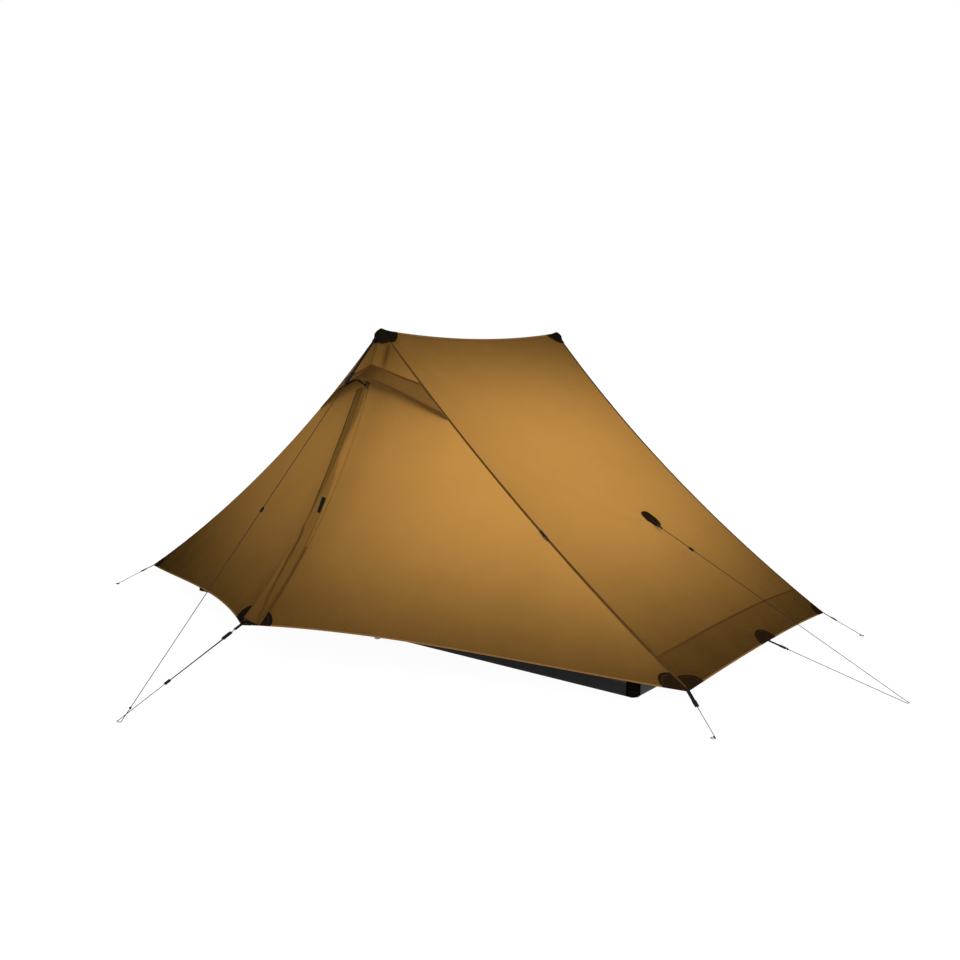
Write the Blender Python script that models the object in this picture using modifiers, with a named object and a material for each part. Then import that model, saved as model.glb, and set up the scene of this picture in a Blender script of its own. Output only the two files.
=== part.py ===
"""Trekking pole tent: a two person single wall tent pitched on two upright poles.

Metres, +Z up. The origin is on the ground under the middle of the ridge. +X points to the foot
end, -Y to the front door. The back half is the front half turned by half a turn about Z.
"""
import math

import bmesh
import bpy
import numpy as np
from mathutils import Matrix

# Pitch: where the fly's staked and propped points are
PEAK_HEIGHT = 1.25
PEAK_HALF_SPAN = 0.65
CORNER_REACH = 1.391
CORNER_HALF_WIDTH = 0.671
CORNER_LIFT = 0.097
TOE_REACH = 1.372
TOE_LIFT = 0.211

# Slack of the fly's edges, all from catenary cutting
RIDGE_SAG = 0.0325
SEAM_DIP = 0.055
SEAM_DRAW = 0.024
ZIP_SAG = 0.092
HEM_RISE = 0.0275
HEM_DRAW = 0.015
HEM_SKEW = 0.8
END_HEM_RISE = 0.045
END_HEM_PUSH = 0.035
END_PULL = 0.028
END_PULL_DOWN = 0.635
END_PULL_SPREAD = 0.36
END_SEAM_DOWN = 0.905

# Fabric and seams
FABRIC = 0.0015
MESH = 0.0012
GAP = 0.0003
SEAM_WIDTH = 0.012
SEAM_THICK = 0.001
SEAM_END = 0.992
SEAM_INSET = 0.0009
RIDGE_INSET = 0.0016

# Vent below each peak, as shares of the way from the peak to the hem
VENT_TOP_MIDDLE = 0.118
VENT_TOP_SIDE = 0.160
DOOR_TOP_MIDDLE = 0.200
DOOR_TOP_SIDE = 0.285
BRIM_MIDDLE = 0.188
BRIM_SIDE = 0.262
STRUT_FOOT = 0.181
HOOD_STANDOFF = 0.060
HOOD_LAP = 0.006
STRUT_WIDTH = 0.012
STRUT_THICK = 0.0016
STRUT_CLEAR = 0.0016

# Zip, storm flap and slider
ZIP_HALF_WIDTH = 0.012
ZIP_SPLIT = 0.0016
TAPE_INSET = 0.0010
TAPE_THICK = 0.0008
COIL_WIDTH = 0.0026
COIL_RISE = 0.0011
FLAP_OVER = 0.022
FLAP_SEAM = 0.007
FLAP_THICK = 0.0010
FLAP_EDGE_OFF = 0.0030
FLAP_LIFT = 0.0072
FACET_SLACK = 0.0005
SLIDER_LENGTH = 0.016
SLIDER_WALL = 0.0009
SLIDER_REACH = 0.002
SLIDER_PLAY = 0.0005
SLIDER_SPLIT = 0.0002
PULL_WIDTH = 0.0035
PULL_LENGTH = 0.026
PULL_RISE = 0.0010
ZIP_END = 0.965
ZIP_MARGIN = 0.004
FLAP_MARGIN = 0.008
TAPE_END = 0.985
FLAP_END = 0.980

# Peak caps
CAP_RADIUS = 0.058
CAP_START = 0.010
CAP_THICK = 0.0014
CAP_LIFT = SEAM_THICK + 4.0 * GAP

# Tub floor and inner mesh
TUB_END_INSET = 0.231
TUB_SIDE_INSET = 0.05
TUB_HALF_LENGTH = CORNER_REACH - TUB_END_INSET
TUB_HALF_WIDTH = PEAK_HALF_SPAN - TUB_SIDE_INSET
TUB_WALL = 0.15
MESH_DOOR_FREE = 0.040
MESH_DOOR_TOP_DROP = 0.14
MESH_DOOR_FOOT_DROP = 0.19
MESH_DOOR_SILL = 0.030
MESH_DOOR_GAP = 0.0010

# Trekking poles
POLE_SET_IN = 0.010
GRIP_TOP_DROP = 0.0162
GRIP_LENGTH = 0.125
GRIP_RADIUS = 0.0155
UPPER_RADIUS = 0.009
MIDDLE_RADIUS = 0.008
LOWER_RADIUS = 0.007
TUBE_PLAY = 0.00035
UPPER_END = 0.735
MIDDLE_END = 0.400
TUBE_LAP = 0.070
CLAMP_HEIGHT = 0.034
CLAMP_WALL = 0.0040
LEVER_THICK = 0.0032
LEVER_HEIGHT = 0.018
LEVER_ARC = 115.0
BASKET_HEIGHT = 0.060
BASKET_RADIUS = 0.024
BASKET_HUB = 0.0105
FOOT_HEIGHT = 0.042
FOOT_RADIUS = 0.012

# Guylines
CORD_RADIUS = 0.00125
RUNNER_LENGTH = 0.020
RUNNER_RADIUS = 0.0052
RUNNER_PLAY = 0.0004
LOOP_RADIUS = 0.008
LOOP_ANGLE = 310.0
GROUND_GAP = 0.0004
PEAK_TIE_DOWN = 0.014
DOOR_STAKE = 1.879
CORNER_STAKE_X = 1.531
CORNER_STAKE_Y = 0.773
END_STAKE = 1.923
PEAK_RUNNER_AT = 0.88
LOW_TIE_ALONG = 0.46

ROUND = 16
FRONT = 1.0
BACK = -1.0


# Materials and collections

def material(name, colour, roughness, metallic=0.0):
    made = bpy.data.materials.get(name)
    if made:
        return made
    made = bpy.data.materials.new(name)
    made.use_nodes = True
    shader = made.node_tree.nodes["Principled BSDF"]
    shader.inputs["Base Color"].default_value = (*colour, 1.0)
    shader.inputs["Roughness"].default_value = roughness
    shader.inputs["Metallic"].default_value = metallic
    made.diffuse_color = (*colour, 1.0)
    return made


def khaki():
    return material("khaki ripstop", (0.50, 0.27, 0.07), 0.55)


def dark_trim():
    return material("dark reinforcement", (0.035, 0.022, 0.012), 0.60)


def black_mesh():
    return material("black mesh", (0.03, 0.03, 0.03), 0.70)


def black_web():
    return material("black webbing", (0.015, 0.015, 0.015), 0.65)


def grey_floor():
    return material("grey floor cloth", (0.07, 0.07, 0.075), 0.50)


def grey_cord():
    return material("grey cord", (0.42, 0.42, 0.42), 0.60)


def black_plastic():
    return material("black plastic", (0.02, 0.02, 0.02), 0.40)


def grip_foam():
    return material("grip foam", (0.03, 0.03, 0.03), 0.80)


def pole_alloy():
    return material("pole alloy", (0.30, 0.31, 0.33), 0.30, 1.0)


def new_collection(name):
    made = bpy.data.collections.new(name)
    bpy.context.scene.collection.children.link(made)
    return made


def add_object(name, data, finish):
    """Link one sub-part to the tent's collection with its material."""
    data.materials.clear()
    data.materials.append(finish)
    made = bpy.data.objects.new(name, data)
    TENT.objects.link(made)
    return made


# Points and curves of the fly, always worked out for the front right quarter

def point(x, y, z):
    return np.array([x, y, z], dtype=float)


def unit(vector):
    return vector / np.linalg.norm(vector)


def column(values):
    return np.asarray(values, dtype=float)[..., None]


PEAK = point(0.0, -PEAK_HALF_SPAN, PEAK_HEIGHT)
FAR_PEAK = point(0.0, PEAK_HALF_SPAN, PEAK_HEIGHT)
CORNER = point(CORNER_REACH, -CORNER_HALF_WIDTH, CORNER_LIFT)
FAR_CORNER = point(CORNER_REACH, CORNER_HALF_WIDTH, CORNER_LIFT)
TOE = point(0.0, -TOE_REACH, TOE_LIFT)
SEAM_RUN = unit(CORNER - PEAK)
END_NORMAL = unit(np.cross(SEAM_RUN, point(0.0, 1.0, 0.0)))
END_ACROSS = unit(np.cross(END_NORMAL, SEAM_RUN))
LEAF_NORMAL = unit(np.cross(TOE - PEAK, CORNER - PEAK))
HEM_UP = unit(np.cross(TOE - CORNER, LEAF_NORMAL))
SEAM_LENGTH = float(np.linalg.norm(CORNER - PEAK))
ZIP_CHORD = float(np.linalg.norm(TOE - PEAK))
HEM_LENGTH = float(np.linalg.norm(CORNER - TOE))


def bow(share):
    """Parabola that is 0 at both ends and 1 in the middle."""
    share = np.asarray(share, dtype=float)
    return 4.0 * share * (1.0 - share)


def seam_line(down):
    """Sagging seam from the peak (0) to the corner (1)."""
    sag = SEAM_DRAW * END_ACROSS - SEAM_DIP * END_NORMAL
    return PEAK + column(down) * (CORNER - PEAK) + column(bow(down)) * sag


def zip_frame():
    """Centre, radius, half angle and the two directions of the zip's arc in the plane x = 0."""
    chord = unit(TOE - PEAK)
    outward = unit(point(0.0, chord[2], -chord[1]))
    half_angle = 2.0 * math.atan(2.0 * ZIP_SAG / ZIP_CHORD)
    radius = ZIP_CHORD / (2.0 * math.sin(half_angle))
    centre = (PEAK + TOE) / 2.0 + outward * (radius - ZIP_SAG)
    return centre, radius, half_angle, chord, outward


def zip_line(down):
    """Circular arc in the plane x = 0 from the peak (0) to the toe (1), bowed inwards."""
    centre, radius, half_angle, chord, outward = zip_frame()
    turn = (2.0 * column(down) - 1.0) * half_angle
    return centre + radius * (np.sin(turn) * chord - np.cos(turn) * outward)


def zip_normal(down):
    """Outward direction, square to the zip's arc."""
    centre, radius, half_angle, chord, outward = zip_frame()
    return (centre - zip_line(down)) / radius


def hem_line(across):
    """Hem of a door panel from the toe (0) to the corner (1), cut to an arch."""
    across = np.asarray(across, dtype=float)
    arch = bow(across) * (1.0 + HEM_SKEW * (1.0 - 2.0 * across))
    return TOE + column(across) * (CORNER - TOE) + column(arch) * (HEM_RISE * HEM_UP - HEM_DRAW * LEAF_NORMAL)


def leaf(across, down):
    """Door panel as a three sided Coons patch: across 0 at the zip, 1 at the seam."""
    across, down = np.broadcast_arrays(np.asarray(across, float), np.asarray(down, float))
    side = column(abs(across))
    fall = column(down)
    between_sides = (1.0 - side) * zip_line(down) + side * seam_line(down)
    between_ends = (1.0 - fall) * PEAK + fall * hem_line(abs(across))
    corners = (1.0 - fall) * PEAK + fall * ((1.0 - side) * TOE + side * CORNER)
    surface = between_sides + between_ends - corners
    surface[..., 0] *= np.where(across < 0.0, -1.0, 1.0)
    return surface


def ridge_line(along):
    """Ridge from the front peak (0) to the back peak (1)."""
    return PEAK + column(along) * (FAR_PEAK - PEAK) - column(bow(along)) * point(0.0, 0.0, RIDGE_SAG)


def end_hem_line(along):
    rise = point(END_HEM_PUSH, 0.0, END_HEM_RISE)
    return CORNER + column(along) * (FAR_CORNER - CORNER) + column(bow(along)) * rise


def end_panel(along, down):
    """Foot end panel as a Coons patch, drawn out where the high guyline pulls it."""
    along, down = np.broadcast_arrays(np.asarray(along, float), np.asarray(down, float))
    mirror = point(1.0, -1.0, 1.0)
    side = column(along)
    fall = column(down)
    between_sides = (1.0 - side) * seam_line(down) + side * seam_line(down) * mirror
    between_ends = (1.0 - fall) * ridge_line(along) + fall * end_hem_line(along)
    top = (1.0 - side) * PEAK + side * FAR_PEAK
    foot = (1.0 - side) * CORNER + side * FAR_CORNER
    surface = between_sides + between_ends - (1.0 - fall) * top - fall * foot
    reach_y = (along - 0.5) * 2.0 * CORNER_HALF_WIDTH
    reach_s = (down - END_PULL_DOWN) * SEAM_LENGTH
    pull = END_PULL * np.exp(-np.hypot(reach_y, reach_s) / END_PULL_SPREAD * 1.6)
    fade = np.clip(bow(along) * bow(down) * 1.2, 0.0, 1.0)
    return surface + column(pull * fade) * END_NORMAL


def turned_half(points, half):
    """Front points as they are, back points turned by half a turn about Z."""
    return points * point(half, half, 1.0)


# Sheets and strips

def grid_object(name, points, outward, finish, thickness, grow, lift=0.0):
    """Grid of points as an open surface, lifted along its normals and given its thickness."""
    rows, columns = points.shape[:2]
    index = np.arange(rows * columns).reshape(rows, columns)
    quads = np.stack([index[:-1, :-1], index[1:, :-1], index[1:, 1:], index[:-1, 1:]], axis=-1)
    mesh = bpy.data.meshes.new(name)
    mesh.from_pydata(points.reshape(-1, 3).tolist(), [], quads.reshape(-1, 4).tolist())
    normals = np.zeros(len(mesh.vertices) * 3)
    mesh.vertex_normals.foreach_get("vector", normals)
    normals = normals.reshape(-1, 3)
    if float(np.mean(normals @ np.asarray(outward, float))) < 0.0:
        mesh.flip_normals()
        normals = -normals
    if lift:
        lifted = points.reshape(-1, 3) + lift * normals
        mesh.vertices.foreach_set("co", lifted.ravel())
    mesh.update()
    made = add_object(name, mesh, finish)
    wall = made.modifiers.new("thickness", "SOLIDIFY")
    wall.thickness = thickness
    wall.offset = grow
    wall.use_even_offset = True
    wall.use_quality_normals = True
    return made


def set_origin(made, place):
    """Put the origin of a piece that moves on its joint's axis; the shape stays where it is."""
    made.data.transform(Matrix.Translation((-place).tolist()))
    made.location = place.tolist()


def plain_mesh(piece):
    """The piece's evaluated mesh in world space, in place of the piece."""
    bpy.context.view_layer.update()
    graph = bpy.context.evaluated_depsgraph_get()
    finish = piece.data.materials[0]
    mesh = bpy.data.meshes.new_from_object(piece.evaluated_get(graph))
    weld_caps(mesh)
    mesh.transform(piece.matrix_world)
    name = piece.name
    bpy.data.objects.remove(piece)
    return add_object(name, mesh, finish)


def unite(name, pieces):
    """One solid out of pieces that run into each other."""
    solids = [plain_mesh(piece) for piece in pieces]
    whole = solids[0]
    for other in solids[1:]:
        joint = whole.modifiers.new("union", "BOOLEAN")
        joint.operation = "UNION"
        joint.solver = "EXACT"
        joint.object = other
        whole = plain_mesh(whole)
        bpy.data.objects.remove(other)
    whole.name = name
    whole.data.name = name
    return whole


def weld_caps(mesh):
    loose = bmesh.new()
    loose.from_mesh(mesh)
    bmesh.ops.remove_doubles(loose, verts=loose.verts, dist=0.000001)
    loose.to_mesh(mesh)
    loose.free()


def leaf_grid(sides, falls, edge_x, top):
    """Grid over a door panel from a line beside the zip to the seam, top given as a share down."""
    share = np.linspace(0.0, 1.0, sides)[:, None]
    fall = np.linspace(0.0, 1.0, falls)[None, :]
    across = share + 0.0 * fall
    edge = 0.02 + 0.0 * across
    for _ in range(6):
        down = top(across) + (1.0 - top(across)) * fall
        edge = edge * edge_x / leaf(edge, down)[..., 0]
        across = edge + (1.0 - edge) * share
    return leaf(across * (1.0 - SEAM_INSET / (HEM_LENGTH * down)), down)


def vent_seam(across):
    return VENT_TOP_MIDDLE + (VENT_TOP_SIDE - VENT_TOP_MIDDLE) * abs(across)


def door_top(across):
    return DOOR_TOP_MIDDLE + (DOOR_TOP_SIDE - DOOR_TOP_MIDDLE) * abs(across) ** 1.5


def band(name, half, top, bottom, columns, rows, finish, thickness):
    """Sheet across both halves of the door between two lines given as shares down the panel."""
    side = np.linspace(-1.0, 1.0, columns)[:, None]
    fall = np.linspace(0.0, 1.0, rows)[None, :]
    down = top(side) + (bottom(side) - top(side)) * fall
    across = side * (1.0 - SEAM_INSET / (HEM_LENGTH * down))
    outward = turned_half(point(0.0, LEAF_NORMAL[1], LEAF_NORMAL[2]), half)
    return grid_object(name, turned_half(leaf(across, down), half), outward, finish, thickness, -1.0)


def end_panel_shares():
    """Shares along and down at which the end panel's grid lies."""
    inset = RIDGE_INSET / (2.0 * PEAK_HALF_SPAN)
    along = np.linspace(inset, 1.0 - inset, 15)
    upper = np.linspace(RIDGE_INSET / SEAM_LENGTH, END_PULL_DOWN, 9)
    lower = np.linspace(END_PULL_DOWN, 1.0, 6)[1:]
    return along, np.concatenate([upper, lower])


def add_end_panel(name, half):
    along, down = end_panel_shares()
    points = turned_half(end_panel(along[:, None], down[None, :]), half)
    return grid_object(name, points, turned_half(END_NORMAL, half), khaki(), FABRIC, -1.0)


def add_fly(prefix, half):
    """Yoke, vent mesh, hood, fixed leaf and door leaf of one side."""
    lap = GAP / ZIP_CHORD

    def yoke_top(side):
        return CAP_START / ZIP_CHORD + 0.0 * side

    band(prefix + "_yoke", half, yoke_top, lambda s: vent_seam(s) - lap, 23, 4, khaki(), FABRIC)
    band(prefix + "_vent_mesh", half, lambda s: vent_seam(s) + lap, lambda s: door_top(s) - lap,
         23, 3, black_mesh(), MESH)
    points = leaf_grid(12, 12, ZIP_HALF_WIDTH, lambda s: door_top(s) + lap)
    for name, mirror in (("_door_leaf", 1.0), ("_fixed_leaf", -1.0)):
        side_points = turned_half(points * point(mirror, 1.0, 1.0), half)
        outward = turned_half(LEAF_NORMAL * point(mirror, 1.0, 1.0), half)
        sheet = grid_object(prefix + name, side_points, outward, khaki(), FABRIC, -1.0)
        if name == "_door_leaf":
            set_origin(sheet, turned_half(CORNER, half))


def hood_points(columns, rows):
    """Hood from the vent seam out to its brim, standing off most in the middle."""
    side = np.linspace(-0.97, 0.97, columns)[:, None]
    out = np.linspace(0.0, 1.0, rows)[None, :]
    root = vent_seam(side) - HOOD_LAP / ZIP_CHORD
    brim = BRIM_MIDDLE + (BRIM_SIDE - BRIM_MIDDLE) * abs(side) ** 1.5
    down = root + (brim - root) * out
    lift = HOOD_STANDOFF * (1.0 - abs(side) ** 2.2) * out ** 1.15
    lean = np.stack([LEAF_NORMAL[0] * side * np.ones_like(out),
                     LEAF_NORMAL[1] * np.ones_like(down),
                     LEAF_NORMAL[2] * np.ones_like(down)], axis=-1)
    lean /= np.linalg.norm(lean, axis=-1, keepdims=True)
    return leaf(side * np.ones_like(out), down) + column(lift) * lean


def add_hood(prefix, half):
    outward = turned_half(point(0.0, LEAF_NORMAL[1], LEAF_NORMAL[2]), half)
    points = turned_half(hood_points(15, 5), half)
    grid_object(prefix + "_vent_hood", points, outward, khaki(), FABRIC, 1.0, lift=2.0 * GAP)
    apex = hood_points(3, 2)[1, 1] - zip_normal(STRUT_FOOT) * STRUT_CLEAR
    foot = zip_line(STRUT_FOOT) + zip_normal(STRUT_FOOT) * STRUT_CLEAR
    run = foot - apex
    strut = bar(prefix + "_vent_strut", apex + 0.002 * unit(run), foot - 0.001 * unit(run),
                point(1.0, 0.0, 0.0), STRUT_WIDTH, STRUT_THICK, black_plastic(), half)
    set_origin(strut, turned_half(apex, half))


def bar(name, start, end, across, width, thickness, finish, half):
    """Flat bar between two points, its width along the given direction."""
    start, end, across = (turned_half(v, half) for v in (start, end, across))
    run = end - start
    length = float(np.linalg.norm(run))
    forward = run / length
    sideways = unit(across - forward * float(across @ forward))
    upward = np.cross(forward, sideways)
    mesh = bpy.data.meshes.new(name)
    box = bmesh.new()
    bmesh.ops.create_cube(box, size=1.0)
    for corner in box.verts:
        share = np.array(corner.co)
        corner.co = (start + forward * (share[0] + 0.5) * length
                     + sideways * share[1] * width + upward * share[2] * thickness)
    box.to_mesh(mesh)
    box.free()
    return add_object(name, mesh, finish)


# Seams, caps and patches

def add_seam(name, half):
    """Felled seam along one end panel's edge: up a slope, over the ridge and down the other slope."""
    ridge, slope = end_panel_shares()
    ridge = np.concatenate([[0.0], ridge[1:-1], [1.0]])
    slope = np.minimum(slope[:0:-1], SEAM_END)
    along = np.concatenate([0.0 * slope, ridge, 1.0 + 0.0 * slope])[:, None]
    down = np.concatenate([slope, 0.0 * ridge, slope[::-1]])[:, None]
    side = np.array([0.0, 1.0])[None, :] * SEAM_WIDTH
    width = side / (2.0 * PEAK_HALF_SPAN)
    points = end_panel(np.clip(along, width, 1.0 - width), np.maximum(down, side / SEAM_LENGTH))
    outward = turned_half(END_NORMAL, half)
    grid_object(name, turned_half(points, half), outward, dark_trim(), SEAM_THICK, 1.0, lift=GAP)


def peak_fan(distance, spread):
    """Closed ring of points at one distance round the front peak, on the fly's own surface."""
    share = np.linspace(0.0, 1.0, spread, endpoint=False)
    on_end = end_panel(distance * (1.0 - share) / (2.0 * PEAK_HALF_SPAN), distance * share / SEAM_LENGTH)
    reach = np.linalg.norm(hem_line(1.0 - share) - PEAK, axis=-1)
    on_leaf = leaf(1.0 - share, distance / reach)
    half_ring = np.concatenate([on_end, on_leaf])
    middle = leaf(np.array([0.0]), np.array([distance / ZIP_CHORD]))
    other = (half_ring * point(-1.0, 1.0, 1.0))[1:][::-1]
    return np.concatenate([half_ring, middle, other])


def add_cap(prefix, half):
    """Reinforced cap over the peak, a fan of the fly's own surface lifted off it."""
    rings = np.stack([peak_fan(share * CAP_RADIUS, 4) for share in (0.22, 0.6, 1.0)])
    points = turned_half(rings, half)
    count = points.shape[1]
    shell = bmesh.new()
    tip = shell.verts.new(turned_half(PEAK, half))
    grid = [[shell.verts.new(place) for place in ring] for ring in points]
    for i in range(count):
        j = (i + 1) % count
        shell.faces.new((tip, grid[0][i], grid[0][j]))
        for inner, outer in zip(grid[:-1], grid[1:]):
            shell.faces.new((inner[i], outer[i], outer[j], inner[j]))
    bmesh.ops.recalc_face_normals(shell, faces=shell.faces)
    shell.normal_update()
    if tip.normal.z < 0.0:
        bmesh.ops.reverse_faces(shell, faces=shell.faces)
        shell.normal_update()
    for corner in shell.verts:
        corner.co += corner.normal * corner.calc_shell_factor() * CAP_LIFT
    mesh = bpy.data.meshes.new(prefix + "_peak_cap")
    shell.to_mesh(mesh)
    shell.free()
    made = add_object(prefix + "_peak_cap", mesh, dark_trim())
    wall = made.modifiers.new("thickness", "SOLIDIFY")
    wall.thickness = CAP_THICK
    wall.offset = 1.0
    wall.use_even_offset = True


# Zip, flap and slider

def zip_ribbon(name, half, offsets, heights, down, finish):
    """Closed ribbon along the zip: side offsets and heights, each height one value or one per station."""
    base = zip_line(down)[:, None, :]
    rise = zip_normal(down)[:, None, :]
    profile_x = np.asarray(offsets)[None, :, None] * point(1.0, 0.0, 0.0)
    levels = np.stack([height + 0.0 * down for height in heights], axis=-1)
    points = base + rise * column(levels) + profile_x
    points = turned_half(points, half)
    steps, sides = points.shape[:2]
    tube = bmesh.new()
    rings = [[tube.verts.new(place) for place in ring] for ring in points]
    for near, far in zip(rings[:-1], rings[1:]):
        for i in range(sides):
            j = (i + 1) % sides
            tube.faces.new((near[i], near[j], far[j], far[i]))
    tube.faces.new(rings[0])
    tube.faces.new(rings[-1][::-1])
    bmesh.ops.recalc_face_normals(tube, faces=tube.faces)
    mesh = bpy.data.meshes.new(name)
    tube.to_mesh(mesh)
    tube.free()
    return add_object(name, mesh, finish)


def panel_drop(offset, down):
    """How far the door panel has fallen below the zip's own line at a distance beside it."""
    across = offset / seam_line(down)[..., 0]
    beside = leaf(across, down)
    return np.einsum("ij,ij->i", beside - zip_line(down), zip_normal(down))


def add_zip(prefix, half):
    """Two zip halves, each a flat tape with its coil beside the split."""
    down = np.linspace(DOOR_TOP_MIDDLE + ZIP_MARGIN, TAPE_END, 25)
    inner = ZIP_SPLIT / 2.0
    outer = ZIP_HALF_WIDTH - TAPE_INSET
    drop = float(np.min(panel_drop(ZIP_HALF_WIDTH, down)))
    coil = inner + COIL_WIDTH
    flat = coil + SLIDER_REACH + 2.0 * GAP
    high = TAPE_THICK / 2.0
    heights = (COIL_RISE, COIL_RISE, high, high, drop,
               drop - TAPE_THICK, -high, -high, -COIL_RISE, -COIL_RISE)
    offsets = (inner, coil, coil, flat, outer, outer, flat, coil, coil, inner)
    hinge = turned_half(CORNER, half)
    for suffix, mirror in (("_zip_door_half", 1.0), ("_zip_fixed_half", -1.0)):
        tape = zip_ribbon(prefix + suffix, half, np.array(offsets) * mirror, heights, down, black_web())
        if mirror > 0.0:
            set_origin(tape, hinge)
    flap_down = np.linspace(DOOR_TOP_MIDDLE + FLAP_MARGIN, FLAP_END, 25)
    over = panel_drop(FLAP_OVER, flap_down)
    fold = 0.3 * ZIP_HALF_WIDTH
    flap_x = (ZIP_HALF_WIDTH + FLAP_SEAM, ZIP_HALF_WIDTH, fold, -fold, -FLAP_OVER)
    foot = panel_drop(ZIP_HALF_WIDTH, flap_down) + FACET_SLACK
    rim = (foot + GAP, foot + 2.0 * GAP, FLAP_LIFT, FLAP_LIFT, over + FLAP_EDGE_OFF)
    loop_x = flap_x + flap_x[::-1]
    loop_z = rim + tuple(height + FLAP_THICK for height in rim[::-1])
    flap = zip_ribbon(prefix + "_storm_flap", half, loop_x, loop_z, flap_down, khaki())
    set_origin(flap, hinge)


def add_slider(prefix, half):
    """Slider that runs round the fixed half's coil, with its pull lying on it."""
    centre = zip_frame()[0]
    place = zip_line(np.array([ZIP_END]))[0]
    rise = zip_normal(np.array([ZIP_END]))[0]
    run = unit(np.cross(point(1.0, 0.0, 0.0), rise))
    if run[2] > 0.0:
        run = -run
    reach = ZIP_SPLIT / 2.0 + COIL_WIDTH + SLIDER_REACH
    low = COIL_RISE + SLIDER_PLAY
    high = low + SLIDER_WALL
    inner = SLIDER_PLAY - ZIP_SPLIT / 2.0
    outline = [(-SLIDER_SPLIT, -high), (-SLIDER_SPLIT, high), (-reach, high), (-reach, low),
               (inner, low), (inner, -low), (-reach, -low), (-reach, -high)]
    body = prism("body", outline, place, rise, run, SLIDER_LENGTH, half)
    middle = low + SLIDER_WALL / 3.0
    near = -SLIDER_SPLIT - GAP
    pull = [(near - PULL_WIDTH, middle), (near, middle), (near, high + PULL_RISE),
            (near - PULL_WIDTH, high + PULL_RISE)]
    tag = prism("pull", pull, place - 0.4 * PULL_LENGTH * run, rise, run, PULL_LENGTH, half)
    slider = unite(prefix + "_zip_slider", [body, tag])
    set_origin(slider, turned_half(centre, half))


def prism(name, outline, place, rise, run, length, half):
    """Outline in the plane of X and the zip's normal, drawn along the zip."""
    solid = bmesh.new()
    rings = []
    for shift in (-0.5, 0.5):
        ring = []
        for side, height in outline:
            spot = place + point(side, 0.0, 0.0) + rise * height + run * shift * length
            ring.append(solid.verts.new(turned_half(spot, half)))
        rings.append(ring)
    count = len(outline)
    for i in range(count):
        j = (i + 1) % count
        solid.faces.new((rings[0][i], rings[0][j], rings[1][j], rings[1][i]))
    solid.faces.new(rings[0][::-1])
    solid.faces.new(rings[1])
    bmesh.ops.recalc_face_normals(solid, faces=solid.faces)
    mesh = bpy.data.meshes.new(name)
    solid.to_mesh(mesh)
    solid.free()
    return add_object(name, mesh, black_plastic())


# Tub floor and inner mesh

def add_tub():
    """Bathtub floor: a tray with upright walls, open at the top."""
    mesh = bpy.data.meshes.new("tub_floor")
    tray = bmesh.new()
    bmesh.ops.create_cube(tray, size=1.0)
    lids = [face for face in tray.faces if face.normal.z > 0.5]
    bmesh.ops.delete(tray, geom=lids, context="FACES_ONLY")
    for corner in tray.verts:
        corner.co.x *= 2.0 * TUB_HALF_LENGTH
        corner.co.y *= 2.0 * TUB_HALF_WIDTH
        corner.co.z = (corner.co.z + 0.5) * TUB_WALL
    tray.to_mesh(mesh)
    tray.free()
    made = add_object("tub_floor", mesh, grey_floor())
    wall = made.modifiers.new("thickness", "SOLIDIFY")
    wall.thickness = FABRIC
    wall.offset = -1.0
    wall.use_even_offset = True
    return made


def flat_outline(name, loops, y_middle, thickness, finish, half):
    """Flat upright sheet from closed outlines in x and z; later outlines are holes."""
    curve = bpy.data.curves.new(name, "CURVE")
    curve.dimensions = "2D"
    curve.fill_mode = "BOTH"
    curve.extrude = thickness / 2.0
    for loop in loops:
        spline = curve.splines.new("POLY")
        spline.points.add(len(loop) - 1)
        for spot, (x, z) in zip(spline.points, loop):
            spot.co = (x, z, 0.0, 1.0)
        spline.use_cyclic_u = True
    made = add_object(name, curve, finish)
    made.rotation_euler = (math.pi / 2.0, 0.0, 0.0 if half > 0.0 else math.pi)
    made.location = (0.0, half * y_middle, 0.0)
    bpy.context.view_layer.update()
    graph = bpy.context.evaluated_depsgraph_get()
    mesh = bpy.data.meshes.new_from_object(made.evaluated_get(graph))
    weld_caps(mesh)
    mesh.transform(made.matrix_world)
    bpy.data.objects.remove(made)
    return add_object(name, mesh, finish)


def mesh_wall_y():
    return -(TUB_HALF_WIDTH - FABRIC / 2.0)


def wall_edge():
    """Points in x and z along the end panel's underside above the mesh wall, from the middle out."""
    down = np.linspace(0.0, 1.0, 60)
    along = np.linspace(0.0, 0.12, 25)
    sheet = end_panel(along[:, None], down[None, :])
    share = [np.interp(mesh_wall_y(), sheet[:, i, 1], along) for i in range(len(down))]
    edge = end_panel(np.array(share), down)
    drop = (FABRIC + 2.0 * GAP + FACET_SLACK) / END_NORMAL[2]
    return edge[:, 0], edge[:, 2] - drop


def mesh_door_corners(inset):
    """Free top, free foot and hinge foot of the mesh door, drawn in by a gap all round."""
    edge_x, edge_z = wall_edge()
    sill = TUB_WALL + MESH_DOOR_SILL
    peak = float(np.interp(MESH_DOOR_FREE, edge_x, edge_z)) - MESH_DOOR_TOP_DROP
    reach = float(np.interp(-sill - MESH_DOOR_FOOT_DROP, -edge_z, edge_x))
    slope = math.atan2(peak - sill, reach - MESH_DOOR_FREE)
    top = peak - inset / math.cos(slope) - inset * math.tan(slope)
    foot = reach - inset / math.sin(slope) - inset / math.tan(slope)
    return [(MESH_DOOR_FREE + inset, top), (MESH_DOOR_FREE + inset, sill + inset), (foot, sill + inset)]


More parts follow.
